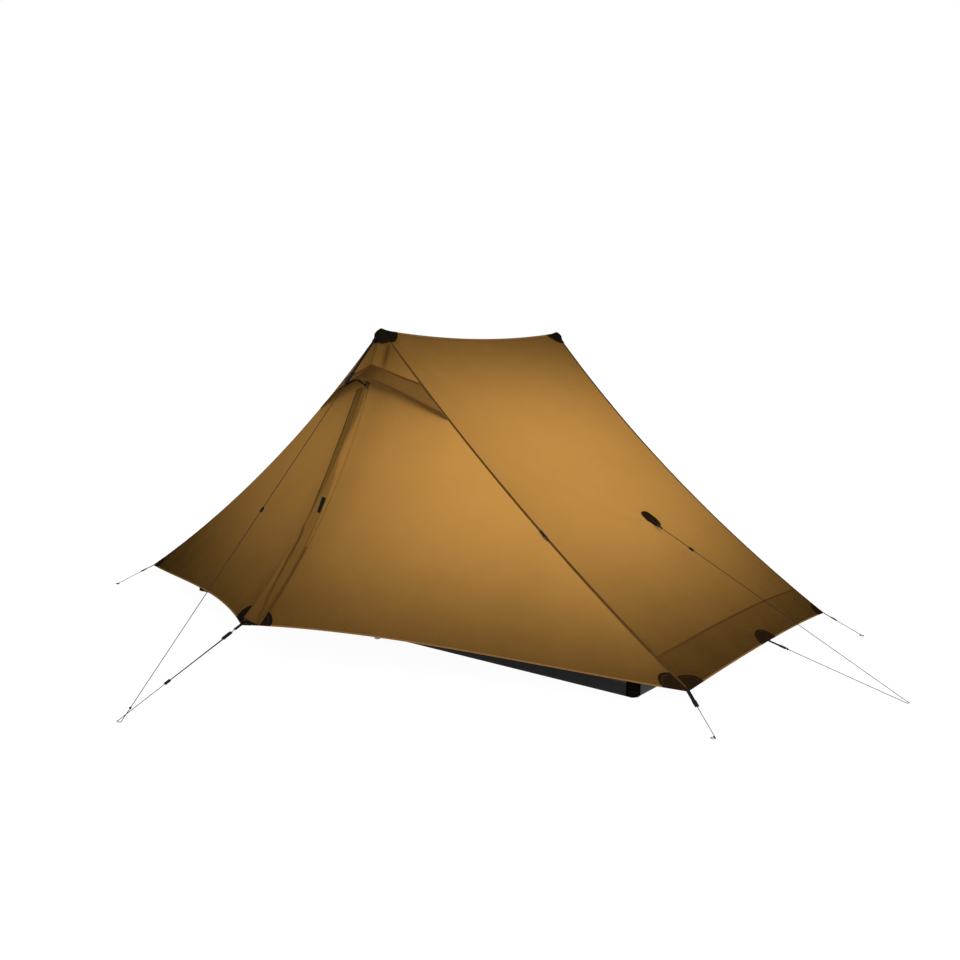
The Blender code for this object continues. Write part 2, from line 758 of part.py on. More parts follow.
def add_mesh_wall(prefix, half):
    """Upright mesh wall with its triangular door opening, and the door in it."""
    reach = TUB_HALF_LENGTH - 0.002
    x = np.concatenate([[0.004], np.linspace(0.06, reach, 9)])
    edge = list(zip(x.tolist(), np.interp(x, *wall_edge()).tolist()))
    base = TUB_WALL + GAP
    outline = [(-a, b) for a, b in edge[::-1]] + edge + [(reach, base), (-reach, base)]
    hole = mesh_door_corners(0.0)
    flat_outline(prefix + "_mesh_wall", [outline, hole], mesh_wall_y(), MESH, black_mesh(), half)
    corners = mesh_door_corners(MESH_DOOR_GAP)
    door = flat_outline(prefix + "_mesh_door", [corners], mesh_wall_y(), MESH, black_mesh(), half)
    foot_x, foot_z = corners[2]
    set_origin(door, turned_half(point(foot_x, mesh_wall_y(), foot_z), half))


def add_end_mesh(name, half):
    """Mesh strip that joins an end panel to the tub's end wall."""
    y = np.linspace(-TUB_HALF_WIDTH + 0.004, TUB_HALF_WIDTH - 0.004, 13)
    along = 0.5 + y / (2.0 * CORNER_HALF_WIDTH)
    top = end_panel(along, np.full_like(y, END_SEAM_DOWN)) - END_NORMAL * (FABRIC + FACET_SLACK + GAP)
    foot_x = np.full_like(y, TUB_HALF_LENGTH + GAP + MESH)
    foot = np.stack([foot_x, y, np.full_like(y, TUB_WALL - 0.004)], axis=-1)
    points = turned_half(np.stack([top, foot]), half)
    grid_object(name, points, turned_half(point(1.0, 0.0, -0.2), half), black_mesh(), MESH, -1.0)


# Poles

def turned(name, profile, at, finish, closed=False, steps=ROUND):
    """Round piece: a profile of radius and height swept about an upright axis."""
    mesh = bpy.data.meshes.new(name)
    spots = [(radius, 0.0, height) for radius, height in profile]
    edges = [(i, i + 1) for i in range(len(spots) - 1)]
    if closed:
        edges.append((len(spots) - 1, 0))
    mesh.from_pydata(spots, edges, [])
    made = add_object(name, mesh, finish)
    made.location = at
    sweep = made.modifiers.new("turn", "SCREW")
    sweep.axis = "Z"
    sweep.steps = steps
    sweep.render_steps = steps
    sweep.use_merge_vertices = True
    sweep.merge_threshold = 0.0001
    sweep.use_normal_calculate = False
    sweep.use_smooth_shade = True
    return made


def tube(name, radius, bore, top, bottom, at, finish):
    profile = [(radius, top), (radius, bottom), (bore, bottom), (bore, top)]
    return turned(name, profile, at, finish, closed=True)


def add_pole(prefix, half):
    """One trekking pole, grip up: three shafts, two clamps with levers, grip and strap."""
    at = (0.0, -half * (PEAK_HALF_SPAN - POLE_SET_IN), 0.0)
    crown = PEAK_HEIGHT - GRIP_TOP_DROP
    grip_foot = crown - GRIP_LENGTH
    profile = [(0.0, crown), (0.0080, crown - 0.0012), (0.0135, crown - 0.0060),
               (GRIP_RADIUS, crown - 0.0140),
               (GRIP_RADIUS, crown - 0.026), (0.0128, crown - 0.034), (0.0146, crown - 0.060),
               (0.0136, grip_foot + 0.018), (0.0150, grip_foot + 0.006), (0.0125, grip_foot),
               (0.0, grip_foot)]
    turned(prefix + "_pole_grip", profile, at, grip_foam())
    upper_top = grip_foot - GAP
    tube(prefix + "_pole_upper_shaft", UPPER_RADIUS, MIDDLE_RADIUS + TUBE_PLAY, upper_top, UPPER_END, at,
         pole_alloy())
    middle_top = UPPER_END + TUBE_LAP
    tube(prefix + "_pole_middle_shaft", MIDDLE_RADIUS, LOWER_RADIUS + TUBE_PLAY, middle_top, MIDDLE_END, at,
         pole_alloy())
    lower_top = MIDDLE_END + TUBE_LAP
    foot = [(LOWER_RADIUS + 0.0015, FOOT_HEIGHT), (FOOT_RADIUS - 0.002, 0.4 * FOOT_HEIGHT),
            (FOOT_RADIUS, 0.006), (FOOT_RADIUS, 0.0), (0.0, 0.0)]
    basket = [(LOWER_RADIUS, BASKET_HEIGHT + 0.010), (BASKET_HUB, BASKET_HEIGHT + 0.006),
              (BASKET_RADIUS, BASKET_HEIGHT + 0.001), (BASKET_RADIUS, BASKET_HEIGHT - 0.002),
              (BASKET_HUB, BASKET_HEIGHT - 0.003)]
    shaft = [(0.0, lower_top), (LOWER_RADIUS, lower_top)]
    turned(prefix + "_pole_lower_shaft", shaft + basket + foot, at, pole_alloy())
    add_clamp(prefix, "upper", UPPER_RADIUS, UPPER_END, at, half)
    add_clamp(prefix, "lower", MIDDLE_RADIUS, MIDDLE_END, at, half)


def add_clamp(prefix, level, shaft_radius, end, at, half):
    """Clamp ring round the end of a shaft and the flip lever that hugs it."""
    bore = shaft_radius + GAP
    outer = shaft_radius + CLAMP_WALL
    low = end - 0.003
    tube(f"{prefix}_pole_{level}_clamp", outer, bore, low + CLAMP_HEIGHT, low, at, black_plastic())
    inner = outer + GAP
    turn = np.radians(np.linspace(0.0, LEVER_ARC, 9))
    inside = [(inner * math.cos(a), inner * math.sin(a)) for a in turn]
    outside = [((inner + LEVER_THICK) * math.cos(a), (inner + LEVER_THICK) * math.sin(a)) for a in turn[::-1]]
    curve = bpy.data.curves.new("lever", "CURVE")
    curve.dimensions = "2D"
    curve.fill_mode = "BOTH"
    curve.extrude = LEVER_HEIGHT / 2.0
    spline = curve.splines.new("POLY")
    outline = inside + outside
    spline.points.add(len(outline) - 1)
    for spot, (x, y) in zip(spline.points, outline):
        spot.co = (x * half, y * half, 0.0, 1.0)
    spline.use_cyclic_u = True
    made = add_object(f"{prefix}_pole_{level}_lever", curve, black_plastic())
    made.location = (at[0], at[1], low + CLAMP_HEIGHT / 2.0)
    lever = plain_mesh(made)
    pivot = point(half * (inner + LEVER_THICK / 2.0), 0.0, 0.0)
    set_origin(lever, point(at[0], at[1], low + CLAMP_HEIGHT / 2.0) + pivot)


# Guylines

def stake_turn(stake, run, angle):
    """Cord round the place of a stake on the ground, from beside it, through an angle in degrees."""
    flat = unit(point(run[0], run[1], 0.0))
    side = point(-flat[1], flat[0], 0.0)
    centre = stake + point(0.0, 0.0, CORD_RADIUS + GROUND_GAP)
    turn = np.radians(np.linspace(0.0, angle, 13))[:, None]
    return centre + LOOP_RADIUS * (np.cos(turn) * side + np.sin(turn) * flat)


def straight(start, end):
    """Points of a taut run, both ends included."""
    share = np.linspace(0.0, 1.0, 7)[:, None]
    return start + share * (end - start)


def cord(name, spots, half):
    """Tube along the given points with filled caps."""
    curve = bpy.data.curves.new(name, "CURVE")
    curve.dimensions = "3D"
    curve.bevel_depth = CORD_RADIUS
    curve.bevel_resolution = 2
    curve.use_fill_caps = True
    spline = curve.splines.new("POLY")
    spline.points.add(len(spots) - 1)
    for spot, place in zip(spline.points, turned_half(spots, half)):
        spot.co = (*place, 1.0)
    return add_object(name, curve, grey_cord())


def guyline_pair(name, upper_tie, lower_tie, stake, half):
    """One cord from the upper tie round the stake and back to the lower tie."""
    loop = stake_turn(stake, stake - upper_tie, 180.0)
    down = straight(upper_tie, loop[0])
    back = straight(loop[-1], lower_tie)
    cord(name, np.concatenate([down, loop[1:-1], back]), half)
    return upper_tie, loop[0]


def corner_line(name, tie, stake, half):
    """Cord from a corner of the fly to a loop that goes over its stake."""
    loop = stake_turn(stake, stake - tie, LOOP_ANGLE)
    cord(name, np.concatenate([straight(tie, loop[0]), loop[1:]]), half)


def runner(name, place, run, half):
    """Line tensioner: a barrel with a bore that the cord passes through."""
    bore = CORD_RADIUS + RUNNER_PLAY
    half_length = RUNNER_LENGTH / 2.0
    profile = [(RUNNER_RADIUS * 0.8, half_length), (RUNNER_RADIUS, half_length * 0.6),
               (RUNNER_RADIUS, -half_length * 0.6), (RUNNER_RADIUS * 0.8, -half_length),
               (bore, -half_length), (bore, half_length)]
    run = turned_half(run, half)
    made = turned(name, profile, tuple(turned_half(place, half)), black_plastic(), closed=True, steps=10)
    made.rotation_euler = (0.0, math.acos(run[2]), math.atan2(run[1], run[0]))


def add_guylines():
    """Cords that hold the peaks, toes, corners and ends, and the peak lines' tensioners."""
    mirror = point(-1.0, 1.0, 1.0)
    tie_share = np.array([PEAK_TIE_DOWN / ZIP_CHORD])
    tie_rise = CAP_LIFT + CAP_THICK + CORD_RADIUS + 1.5 * GAP
    peak_tie = zip_line(tie_share)[0] + tie_rise * zip_normal(tie_share)[0]
    toe_tie = TOE + point(0.0, -0.006, -0.002)
    high_tie = end_panel(0.5, END_PULL_DOWN) + (CORD_RADIUS + 1.5 * GAP) * END_NORMAL
    low_tie = end_hem_line(LOW_TIE_ALONG) + point(0.006, 0.0, -0.002)
    corner_stake = point(CORNER_STAKE_X, -CORNER_STAKE_Y, 0.0)
    corner_tie = CORNER
    for side_name, end_name, half in (("front", "foot", FRONT), ("back", "head", BACK)):
        door_stake = point(0.0, -DOOR_STAKE, 0.0)
        start, end = guyline_pair(side_name + "_guylines", peak_tie, toe_tie, door_stake, half)
        run = unit(end - start)
        runner(side_name + "_peak_tensioner", start + PEAK_RUNNER_AT * run, run, half)
        guyline_pair(end_name + "_end_guylines", high_tie, low_tie, point(END_STAKE, 0.0, 0.0), half)
        corner_line(side_name + "_right_corner_line", corner_tie, corner_stake, half)
        corner_line(side_name + "_left_corner_line", corner_tie * mirror, corner_stake * mirror, half)


def build():
    for old in list(bpy.data.objects):
        bpy.data.objects.remove(old)
    add_end_panel("foot_end_panel", FRONT)
    add_end_panel("head_end_panel", BACK)
    add_seam("foot_end_seam", FRONT)
    add_seam("head_end_seam", BACK)
    add_end_mesh("foot_mesh_strip", FRONT)
    add_end_mesh("head_mesh_strip", BACK)
    add_tub()
    for prefix, half in (("front", FRONT), ("back", BACK)):
        add_fly(prefix, half)
        add_hood(prefix, half)
        add_cap(prefix, half)
        add_zip(prefix, half)
        add_slider(prefix, half)
        add_mesh_wall(prefix, half)
        add_pole(prefix, half)
    add_guylines()


TENT = new_collection("trekking_pole_tent")
build()
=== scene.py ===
"""Trekking pole tent: the finished look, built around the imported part, as an add-on run as a script."""
import math

import bpy
import numpy as np
from bpy.props import FloatProperty, FloatVectorProperty, PointerProperty
from mathutils import Matrix


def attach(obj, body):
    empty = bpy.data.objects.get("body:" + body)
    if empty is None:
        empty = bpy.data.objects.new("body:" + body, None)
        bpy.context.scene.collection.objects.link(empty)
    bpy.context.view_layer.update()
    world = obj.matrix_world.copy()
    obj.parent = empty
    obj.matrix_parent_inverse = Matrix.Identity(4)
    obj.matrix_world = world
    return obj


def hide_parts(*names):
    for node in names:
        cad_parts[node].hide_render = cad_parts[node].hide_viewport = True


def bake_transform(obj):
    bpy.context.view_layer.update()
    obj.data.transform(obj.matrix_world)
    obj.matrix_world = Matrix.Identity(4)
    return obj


bl_info = {
    "name": "Trekking pole tent",
    "version": (1, 0, 0),
    "blender": (4, 5, 0),
    "location": "3D View > Sidebar > Tent",
    "description": "Cloth, netting, poles, cords and trim of a single wall tent on two poles",
    "category": "Object",
}

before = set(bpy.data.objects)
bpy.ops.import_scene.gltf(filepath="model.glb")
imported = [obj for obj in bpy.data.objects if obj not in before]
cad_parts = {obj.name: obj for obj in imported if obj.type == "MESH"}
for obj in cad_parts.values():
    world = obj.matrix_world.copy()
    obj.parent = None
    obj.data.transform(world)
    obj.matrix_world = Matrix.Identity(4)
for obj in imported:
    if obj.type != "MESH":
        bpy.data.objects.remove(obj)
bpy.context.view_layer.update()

# Pitch and slack, the part's own values in metres

PEAK = np.array([0.0, -0.65, 1.25])
CORNER = np.array([1.391, -0.671, 0.097])
TOE = np.array([0.0, -1.372, 0.211])
MIRROR_X = np.array([-1.0, 1.0, 1.0])
MIRROR_Y = np.array([1.0, -1.0, 1.0])
RIDGE_SAG = 0.0325
SEAM_DIP = 0.055
SEAM_DRAW = 0.024
ZIP_SAG = 0.092
HEM_RISE = 0.0275
HEM_DRAW = 0.015
HEM_SKEW = 0.8
END_HEM_RISE = 0.045
END_HEM_PUSH = 0.035
END_PULL = 0.028
END_PULL_DOWN = 0.635
END_PULL_SPREAD = 0.36
END_SEAM_DOWN = 0.905
CROSS_SEAM = 0.915
VENT_TOP_MIDDLE = 0.118
VENT_TOP_SIDE = 0.160
DOOR_TOP_MIDDLE = 0.200
DOOR_TOP_SIDE = 0.285
BRIM_MIDDLE = 0.188
BRIM_SIDE = 0.262
STRUT_FOOT = 0.181
HOOD_STANDOFF = 0.060
HOOD_LAP = 0.006
STRUT_CLEAR = 0.0016
SILL_MIDDLE = 0.140
SILL_SIDE = 0.200
ZIP_HALF_WIDTH = 0.012
ZIP_SPLIT = 0.0016
COIL_RADIUS = 0.0011
FLAP_TOP = 0.188
FLAP_END = 0.980
FLAP_LIFT = 0.0062
ZIP_END = 0.965
CAP_RADIUS = 0.058
TUB_HALF_LENGTH = 1.160
TUB_HALF_WIDTH = 0.600
TUB_WALL = 0.150
MESH_DOOR_SILL = 0.030
POLE_Y = 0.640
GRIP_TOP = 1.2338
CORD_RADIUS = 0.00125
LOOP_RADIUS = 0.008
LOOP_ANGLE = 310.0
LOW_TIE_ALONG = 0.46
CORD_CLEAR = 0.0004
DOOR_STAKE = np.array([0.0, -1.879, 0.0])
CORNER_STAKE = np.array([1.531, -0.773, 0.0])
END_STAKE = np.array([1.923, 0.0, 0.0])
ALONG_X = np.array([1.0, 0.0, 0.0])
UP = np.array([0.0, 0.0, 1.0])

# Cloth, trim and patches in metres, and shares down the seams. A patch has its reach both ways.

CLOTH = 0.0008
RIDGE = 1.3
END_WIDTH = 1.342
FOLD_WIDTH = 1.34
SEAM_GAP = 0.0009
HEM_INSET = 0.0027
HOOD_WIDTH = 0.84
HOOD_DEPTH = 0.11
FLAP_BASE = 0.0024
SEWN_FROM = 112
PATCH_WALL = 0.0009
CORNER_PATCH = (0.084, 0.060)
TOE_PATCH = (0.104, 0.080)
END_CORNER_PATCH = (0.097, 0.062)
HIGH_TIE_PATCH = (0.046, 0.048)
LOW_TIE_PATCH = (0.066, 0.058)
CAP_HUB = np.array([0.0, -0.648, 1.224])
CAP_BALL = 0.026
TOGGLE_DOWN = 0.5825
TUB_CLEAR = 0.0004
NET_Y = -TUB_HALF_WIDTH + 0.0008

# Light and shade painted into the cloth's colour: middle, reach and power of a bell along x, y and z, how light
# its middle is, how much of it the grip's painted shadow takes, and shares of it from the left to the right of the
# door's side

GLOW_BELL = ((0.0, 1.35, 3.151), (0.0, 1.215, 2.196), (0.678, 0.484, 2.578))
GLOW_MOST = 0.814
GRIP_SHADOW = 0.6
GLOW_X = [-1.3, -1.0, -0.7, -0.4, -0.15, 0.0, 0.05, 0.15, 0.4, 0.8, 1.1, 1.3]
GLOW_SHARE = [0.32, 0.52, 0.64, 0.75, 0.88, 0.82, 0.76, 0.96, 1.17, 1.28, 1.70, 1.95]

# Camera and studio

SENSOR = 36.0
PICTURE = 960.0
CAMERA_AIM = np.array([0.033, 0.0, 0.595])
LIGHT_AIM = np.array([0.0, 0.0, 0.45])
STUDIO_REACH = 30.0
STUDIO_LEVEL = -0.0006
WHITE = (1.0, 1.0, 1.0)


# Points and curves of the fly, worked out for the front right quarter

def unit(vector):
    """Vectors divided by their own length."""
    vector = np.asarray(vector, float)
    return vector / np.linalg.norm(vector, axis=-1, keepdims=True)


def column(values):
    """Numbers with one axis more, so that they scale points."""
    return np.asarray(values, float)[..., None]


def bow(share):
    """Parabola 4 t (1 - t), 0 at both ends and 1 in the middle."""
    share = np.asarray(share, float)
    return 4.0 * share * (1.0 - share)


def span(low, high, count):
    return np.linspace(low, high, count)


def full_turn(count):
    """Angles evenly round a circle, without the last one, which is the first again."""
    return span(0.0, 2.0 * math.pi, count + 1)[:-1]


SEAM_RUN = unit(CORNER - PEAK)
END_NORMAL = unit(np.cross(SEAM_RUN, [0.0, 1.0, 0.0]))
END_ACROSS = unit(np.cross(END_NORMAL, SEAM_RUN))
LEAF_NORMAL = unit(np.cross(TOE - PEAK, CORNER - PEAK))
HEM_UP = unit(np.cross(TOE - CORNER, LEAF_NORMAL))
SEAM_LENGTH = float(np.linalg.norm(CORNER - PEAK))
ZIP_CHORD = float(np.linalg.norm(TOE - PEAK))
HEM_LENGTH = float(np.linalg.norm(CORNER - TOE))


def seam_line(down):
    """Straight run from the peak to the corner, sagged by a parabola in and across."""
    sag = SEAM_DRAW * END_ACROSS - SEAM_DIP * END_NORMAL
    return PEAK + column(down) * (CORNER - PEAK) + column(bow(down)) * sag


def zip_frame():
    """Centre, radius and half angle of the zip's arc in the plane x = 0, with its two directions."""
    chord = unit(TOE - PEAK)
    outward = np.array([0.0, chord[2], -chord[1]])
    half_angle = 2.0 * math.atan(2.0 * ZIP_SAG / ZIP_CHORD)
    radius = ZIP_CHORD / (2.0 * math.sin(half_angle))
    return (PEAK + TOE) / 2.0 + outward * (radius - ZIP_SAG), radius, half_angle, chord, outward


def zip_line(down):
    """Circular arc from the peak to the toe, bowed inwards."""
    centre, radius, half_angle, chord, outward = zip_frame()
    turn = (2.0 * column(down) - 1.0) * half_angle
    return centre + radius * (np.sin(turn) * chord - np.cos(turn) * outward)


def zip_normal(down):
    """Outward direction square to the zip's arc: from the arc to its centre."""
    centre, radius = zip_frame()[:2]
    return (centre - zip_line(down)) / radius


def hem_line(across):
    """Door hem from the toe to the corner: a parabola, a little higher on the toe's side."""
    across = np.asarray(across, float)
    arch = bow(across) * (1.0 + HEM_SKEW * (1.0 - 2.0 * across))
    return TOE + column(across) * (CORNER - TOE) + column(arch) * (HEM_RISE * HEM_UP - HEM_DRAW * LEAF_NORMAL)


def leaf(across, down):
    """Door panel: a Coons patch between the zip (0), the seam (1), the peak and the hem."""
    across, down = np.broadcast_arrays(np.asarray(across, float), np.asarray(down, float))
    side = column(abs(across))
    fall = column(down)
    between_sides = (1.0 - side) * zip_line(down) + side * seam_line(down)
    between_ends = (1.0 - fall) * PEAK + fall * hem_line(abs(across))
    surface = between_sides + between_ends - (1.0 - fall) * PEAK - fall * ((1.0 - side) * TOE + side * CORNER)
    surface[..., 0] *= np.where(across < 0.0, -1.0, 1.0)
    return surface


def ridge_line(along):
    """Ridge: straight between the peaks, sagged by a parabola."""
    return PEAK + column(along) * (PEAK * MIRROR_Y - PEAK) - column(bow(along)) * RIDGE_SAG * UP


def end_hem_line(along):
    """End hem: straight between the corners, a parabola higher and further out."""
    rise = np.array([END_HEM_PUSH, 0.0, END_HEM_RISE])
    return CORNER + column(along) * (CORNER * MIRROR_Y - CORNER) + column(bow(along)) * rise


def end_panel(along, down):
    """End panel: a Coons patch between two seams, ridge and hem, drawn out round the high guyline."""
    along, down = np.broadcast_arrays(np.asarray(along, float), np.asarray(down, float))
    side = column(along)
    fall = column(down)
    surface = (1.0 - side) * seam_line(down) + side * seam_line(down) * MIRROR_Y
    surface = surface + (1.0 - fall) * ridge_line(along) + fall * end_hem_line(along)
    surface = surface - (1.0 - fall) * ((1.0 - side) * PEAK + side * PEAK * MIRROR_Y)
    surface = surface - fall * ((1.0 - side) * CORNER + side * CORNER * MIRROR_Y)
    reach = np.hypot((along - 0.5) * 2.0 * abs(CORNER[1]), (down - END_PULL_DOWN) * SEAM_LENGTH)
    pull = END_PULL * np.exp(-1.6 * reach / END_PULL_SPREAD)
    return surface + column(pull * np.clip(1.2 * bow(along) * bow(down), 0.0, 1.0)) * END_NORMAL


def turned(points, half):
    """Front points as they are for half 1, turned by half a turn about Z for half -1."""
    return np.asarray(points, float) * np.array([half, half, 1.0])


def glow_at(points):
    """How light the cloth is painted: painted light in a bell over height, width and length, darkest at hems and
    peaks, less a painted soft shadow that stands for the one the pole's grip throws on the yoke from inside."""
    x, y, z = ((abs(points[..., axis] - middle) / reach) ** power
               for axis, (middle, reach, power) in enumerate(GLOW_BELL))
    beside = -points[..., 0] * np.sign(points[..., 1])
    # Painted shadow of the pole's grip on the yoke
    grip = np.exp(-((beside - 0.043) / 0.010) ** 2 - ((points[..., 2] - 1.155) / 0.05) ** 4)
    return GLOW_MOST * np.exp(-(z + x + y)) * (1.0 - GRIP_SHADOW * grip * (abs(points[..., 1]) > -PEAK[1]))


def door_glow(points):
    """The same painted light on the door's side, by straight lines between shares along its width: the opening half
    is painted as facing the light, the fixed half as turned from it, and a painted shade of the zip's doubled cloth
    darkens both."""
    return glow_at(points) * np.interp(points[..., 0], GLOW_X, GLOW_SHARE)


# Meshes

def grid_normals(points, outward):
    """Normals of a grid: cross product of its two differences, turned to the outward side."""
    down = np.gradient(points, axis=0)
    across = np.gradient(points, axis=1)
    normal = np.cross(down, across)
    normal = normal / np.maximum(np.linalg.norm(normal, axis=-1, keepdims=True), 1e-12)
    return normal if float((normal @ np.asarray(outward, float)).mean()) > 0.0 else -normal


def runs(points, axis):
    """Arc length along one axis of a grid, averaged over the other."""
    step = np.linalg.norm(np.diff(points, axis=axis), axis=-1).mean(axis=1 - axis)
    return np.concatenate([[0.0], np.cumsum(step)])


def patch(points, outward=None, wrap=False, loop=False, lids="", finish=0, strip=""):
    """One grid of a piece. wrap closes its columns and loop its rows. lids "first", "last" or "both"
    closes its end rings. strip "columns" or "rows" makes the pattern run from 0 to 1 that way and in
    metres the other."""
    rows, columns = points.shape[:2]
    index = np.arange(rows * columns).reshape(rows, columns)
    ring = np.concatenate([index, index[:, :1]], axis=1) if wrap else index
    ring = np.concatenate([ring, ring[:1]], axis=0) if loop else ring
    flat = points.reshape(-1, 3)
    closed = flat[ring]
    across = span(0.0, 1.0, ring.shape[1]) if strip == "columns" else runs(closed, 1)
    along = runs(closed, 0)
    uv = np.stack(np.broadcast_arrays(across[None, :], along[:, None]), -1)
    if strip == "rows":
        uv = np.stack(np.broadcast_arrays(span(0.0, 1.0, ring.shape[0])[:, None], across[None, :]), -1)
    wide = np.arange(ring.size).reshape(ring.shape)
    quads, corners = (np.stack([g[:-1, :-1], g[1:, :-1], g[1:, 1:], g[:-1, 1:]], -1).reshape(-1, 4)
                      for g in (ring, wide))
    ends = [index[0]] if lids in ("first", "both") else []
    ends += [index[-1][::-1]] if lids in ("last", "both") else []
    if outward is None:
        near, *others = (flat[quads[:, i]] for i in range(4))
        volume = sum(float(np.einsum("ij,ij->", near, np.cross(a, b))) for a, b in zip(others, others[1:]))
        for lid in ends:
            volume += float((flat[lid[0]] * np.cross(flat[lid[1:-1]], flat[lid[2:]])).sum())
        flip = volume < 0.0
    else:
        facing = np.cross(flat[quads[:, 2]] - flat[quads[:, 0]], flat[quads[:, 3]] - flat[quads[:, 1]])
        flip = float((facing @ np.asarray(outward, float)).sum()) < 0.0
    if flip:
        quads, corners, ends = quads[:, ::-1], corners[:, ::-1], [lid[::-1] for lid in ends]
    loops = [uv.reshape(-1, 2)[corners].reshape(-1, 2)] + [np.tile([0.5, 0.0], (len(lid), 1)) for lid in ends]
    faces = quads.tolist() + [lid.tolist() for lid in ends]
    return {"points": flat, "faces": faces, "uv": np.concatenate(loops), "finish": finish}


def add_piece(name, patches, finishes, half=1.0, body="tent", node="", bends=False, wall=0.0, grow=-1.0,
              glow=None):
    """One piece of the scene from its patches, in its place. Its finishes are names in FINISH, one material each in
    turn. It rides on its body, or, where it would bend with the door's, only has its place baked in, and may stand
    for a node, which it hides."""
    make_finishes()
    mesh = bpy.data.meshes.new(name)
    start, faces, finish_of = 0, [], []
    for part in patches:
        faces += [[i + start for i in face] for face in part["faces"]]
        finish_of += [part["finish"]] * len(part["faces"])
        start += len(part["points"])
    points = turned(np.concatenate([part["points"] for part in patches]), half)
    mesh.from_pydata(points.tolist(), [], faces)
    layer = mesh.uv_layers.new(name="cloth")
    layer.data.foreach_set("uv", np.concatenate([part["uv"] for part in patches]).astype(np.float32).ravel())
    # Painted light and shade of the cloth at each point, kept in the glow attribute
    values = glow_at(points) if glow is None else np.broadcast_to(np.ravel(glow), len(points))
    mesh.attributes.new("glow", "FLOAT", "POINT").data.foreach_set("value", values.astype(np.float32))
    for finish in finishes.split():
        mesh.materials.append(FINISH[finish])
    mesh.polygons.foreach_set("material_index", np.array(finish_of, np.int32))
    mesh.polygons.foreach_set("use_smooth", np.full(len(faces), True))
    mesh.update()
    made = bpy.data.objects.new(name, mesh)
    bpy.context.scene.collection.objects.link(made)
    if wall:
        layer = made.modifiers.new("cloth thickness", "SOLIDIFY")
        layer.thickness = wall
        layer.offset = grow
    if bends:
        bend_with_door(made)
    else:
        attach(made, body)
    if node:
        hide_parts(node)
    return made


def carry(profile, path, side, rise):
    """Profile of side and height carried along a path: path + width * side + height * rise."""
    profile = np.asarray(profile, float)
    return path[:, None] + profile[None, :, :1] * side[:, None] + profile[None, :, 1:] * rise[:, None]


def path_frames(path, up):
    """Side and rise directions along a path, square to it, the rise as near up as it can be."""
    run = unit(np.gradient(path, axis=0))
    up = np.broadcast_to(np.asarray(up, float), path.shape)
    side = unit(np.cross(run, up))
    return side, np.cross(side, run)


def ring(width, height, count, power=2.0):
    """Closed superellipse profile: the signed power 2 / n of cosine and sine."""
    turn = full_turn(count)
    cos, sin = np.cos(turn), np.sin(turn)
    return np.stack([0.5 * width * np.sign(cos) * abs(cos) ** (2.0 / power),
                     0.5 * height * np.sign(sin) * abs(sin) ** (2.0 / power)], -1)


def tube_patch(path, width, height, up, finish=0, count=12, power=2.0):
    """Closed bar of a superellipse profile along a path, with both ends closed."""
    side, rise = path_frames(path, up)
    return patch(carry(ring(width, height, count, power), path, side, rise), wrap=True, lids="both",
                 finish=finish, strip="columns")


def strip_patch(surface, lift, outward, finish=0, crown=0.0):
    """Trim laid on a surface: its points raised along the normals, and crowned across."""
    normal = grid_normals(surface, outward)
    rise = lift + crown * bow(span(0.0, 1.0, surface.shape[1]))[None, :]
    return patch(surface + column(rise) * normal, outward, finish=finish, strip="columns")


def straight(start, end, count):
    """Points evenly along a straight line: start + share * (end - start)."""
    return start + column(span(0.0, 1.0, count)) * (np.asarray(end, float) - start)


def bar(start, end, width, height, up, rows=7, power=3.0, finish=0, count=12):
    """Straight closed bar between two points."""
    return tube_patch(straight(start, end, rows), width, height, up, finish, count, power)


def closed_run(path):
    """Directions along a closed path."""
    return unit(np.roll(path, -1, 0) - np.roll(path, 1, 0))


def closed_tube(path, across, profile, finish=0):
    """Endless tube: a profile carried round a closed path, its width across it."""
    return patch(carry(profile, path, across, np.cross(across, closed_run(path))), wrap=True, loop=True,
                 finish=finish, strip="columns")


# Folds of the cloth

def folds(flat, anchors, edge):
    """Height of the folds: cosines of the angle round each anchor that fade with distance from it,
    long shallow waves over the whole panel, and nothing at the sewn edges."""
    height = 0.0008 * np.sin(5.3 * flat[..., 0] + 1.1) * np.sin(4.1 * flat[..., 1] + 0.4)
    height = height + 0.0005 * np.sin(13.7 * flat[..., 0] - 7.9 * flat[..., 1] + 0.9)
    for number, (at, reach, lobes, amount) in enumerate(anchors):
        away = flat - np.asarray(at, float)
        distance = np.hypot(away[..., 0], away[..., 1])
        angle = np.arctan2(away[..., 1], away[..., 0])
        ray = np.cos(lobes * angle + 1.3 * number) + 0.55 * np.cos(1.63 * lobes * angle + 2.1 * number)
        height = height + amount * ray * np.exp(-distance / reach) * (1.0 - np.exp(-distance / 0.07))
    return height * np.clip(edge / 0.05, 0.0, 1.0) ** 1.5


def cut_of(points):
    """Flat size of a panel: its longest run across, its longest run down, and its area."""
    across = np.linalg.norm(np.diff(points, axis=1), axis=-1).sum(axis=1).max()
    down = np.linalg.norm(np.diff(points, axis=0), axis=-1).sum(axis=0).max()
    cross = np.cross(points[1:, 1:] - points[:-1, :-1], points[1:, :-1] - points[:-1, 1:])
    return (float(across), float(down)), float(0.5 * np.linalg.norm(cross, axis=-1).sum())


def add_cloth(name, points, outward, finish, node, half, body="tent", fan=False, glow=None):
    """Sheet of cloth over a grid. It works out the size it is cut to, where a fan lies flat with its two long
    edges spread, so its height is less than their length, but uses that size for nothing."""
    size, area = cut_of(points)
    if fan:
        size = (size[0], math.sqrt(size[1] ** 2 - 0.25 * size[0] ** 2))
    made = add_piece(name, [patch(points, outward)], finish, half, body, node, body != "tent", CLOTH,
                     glow=glow)


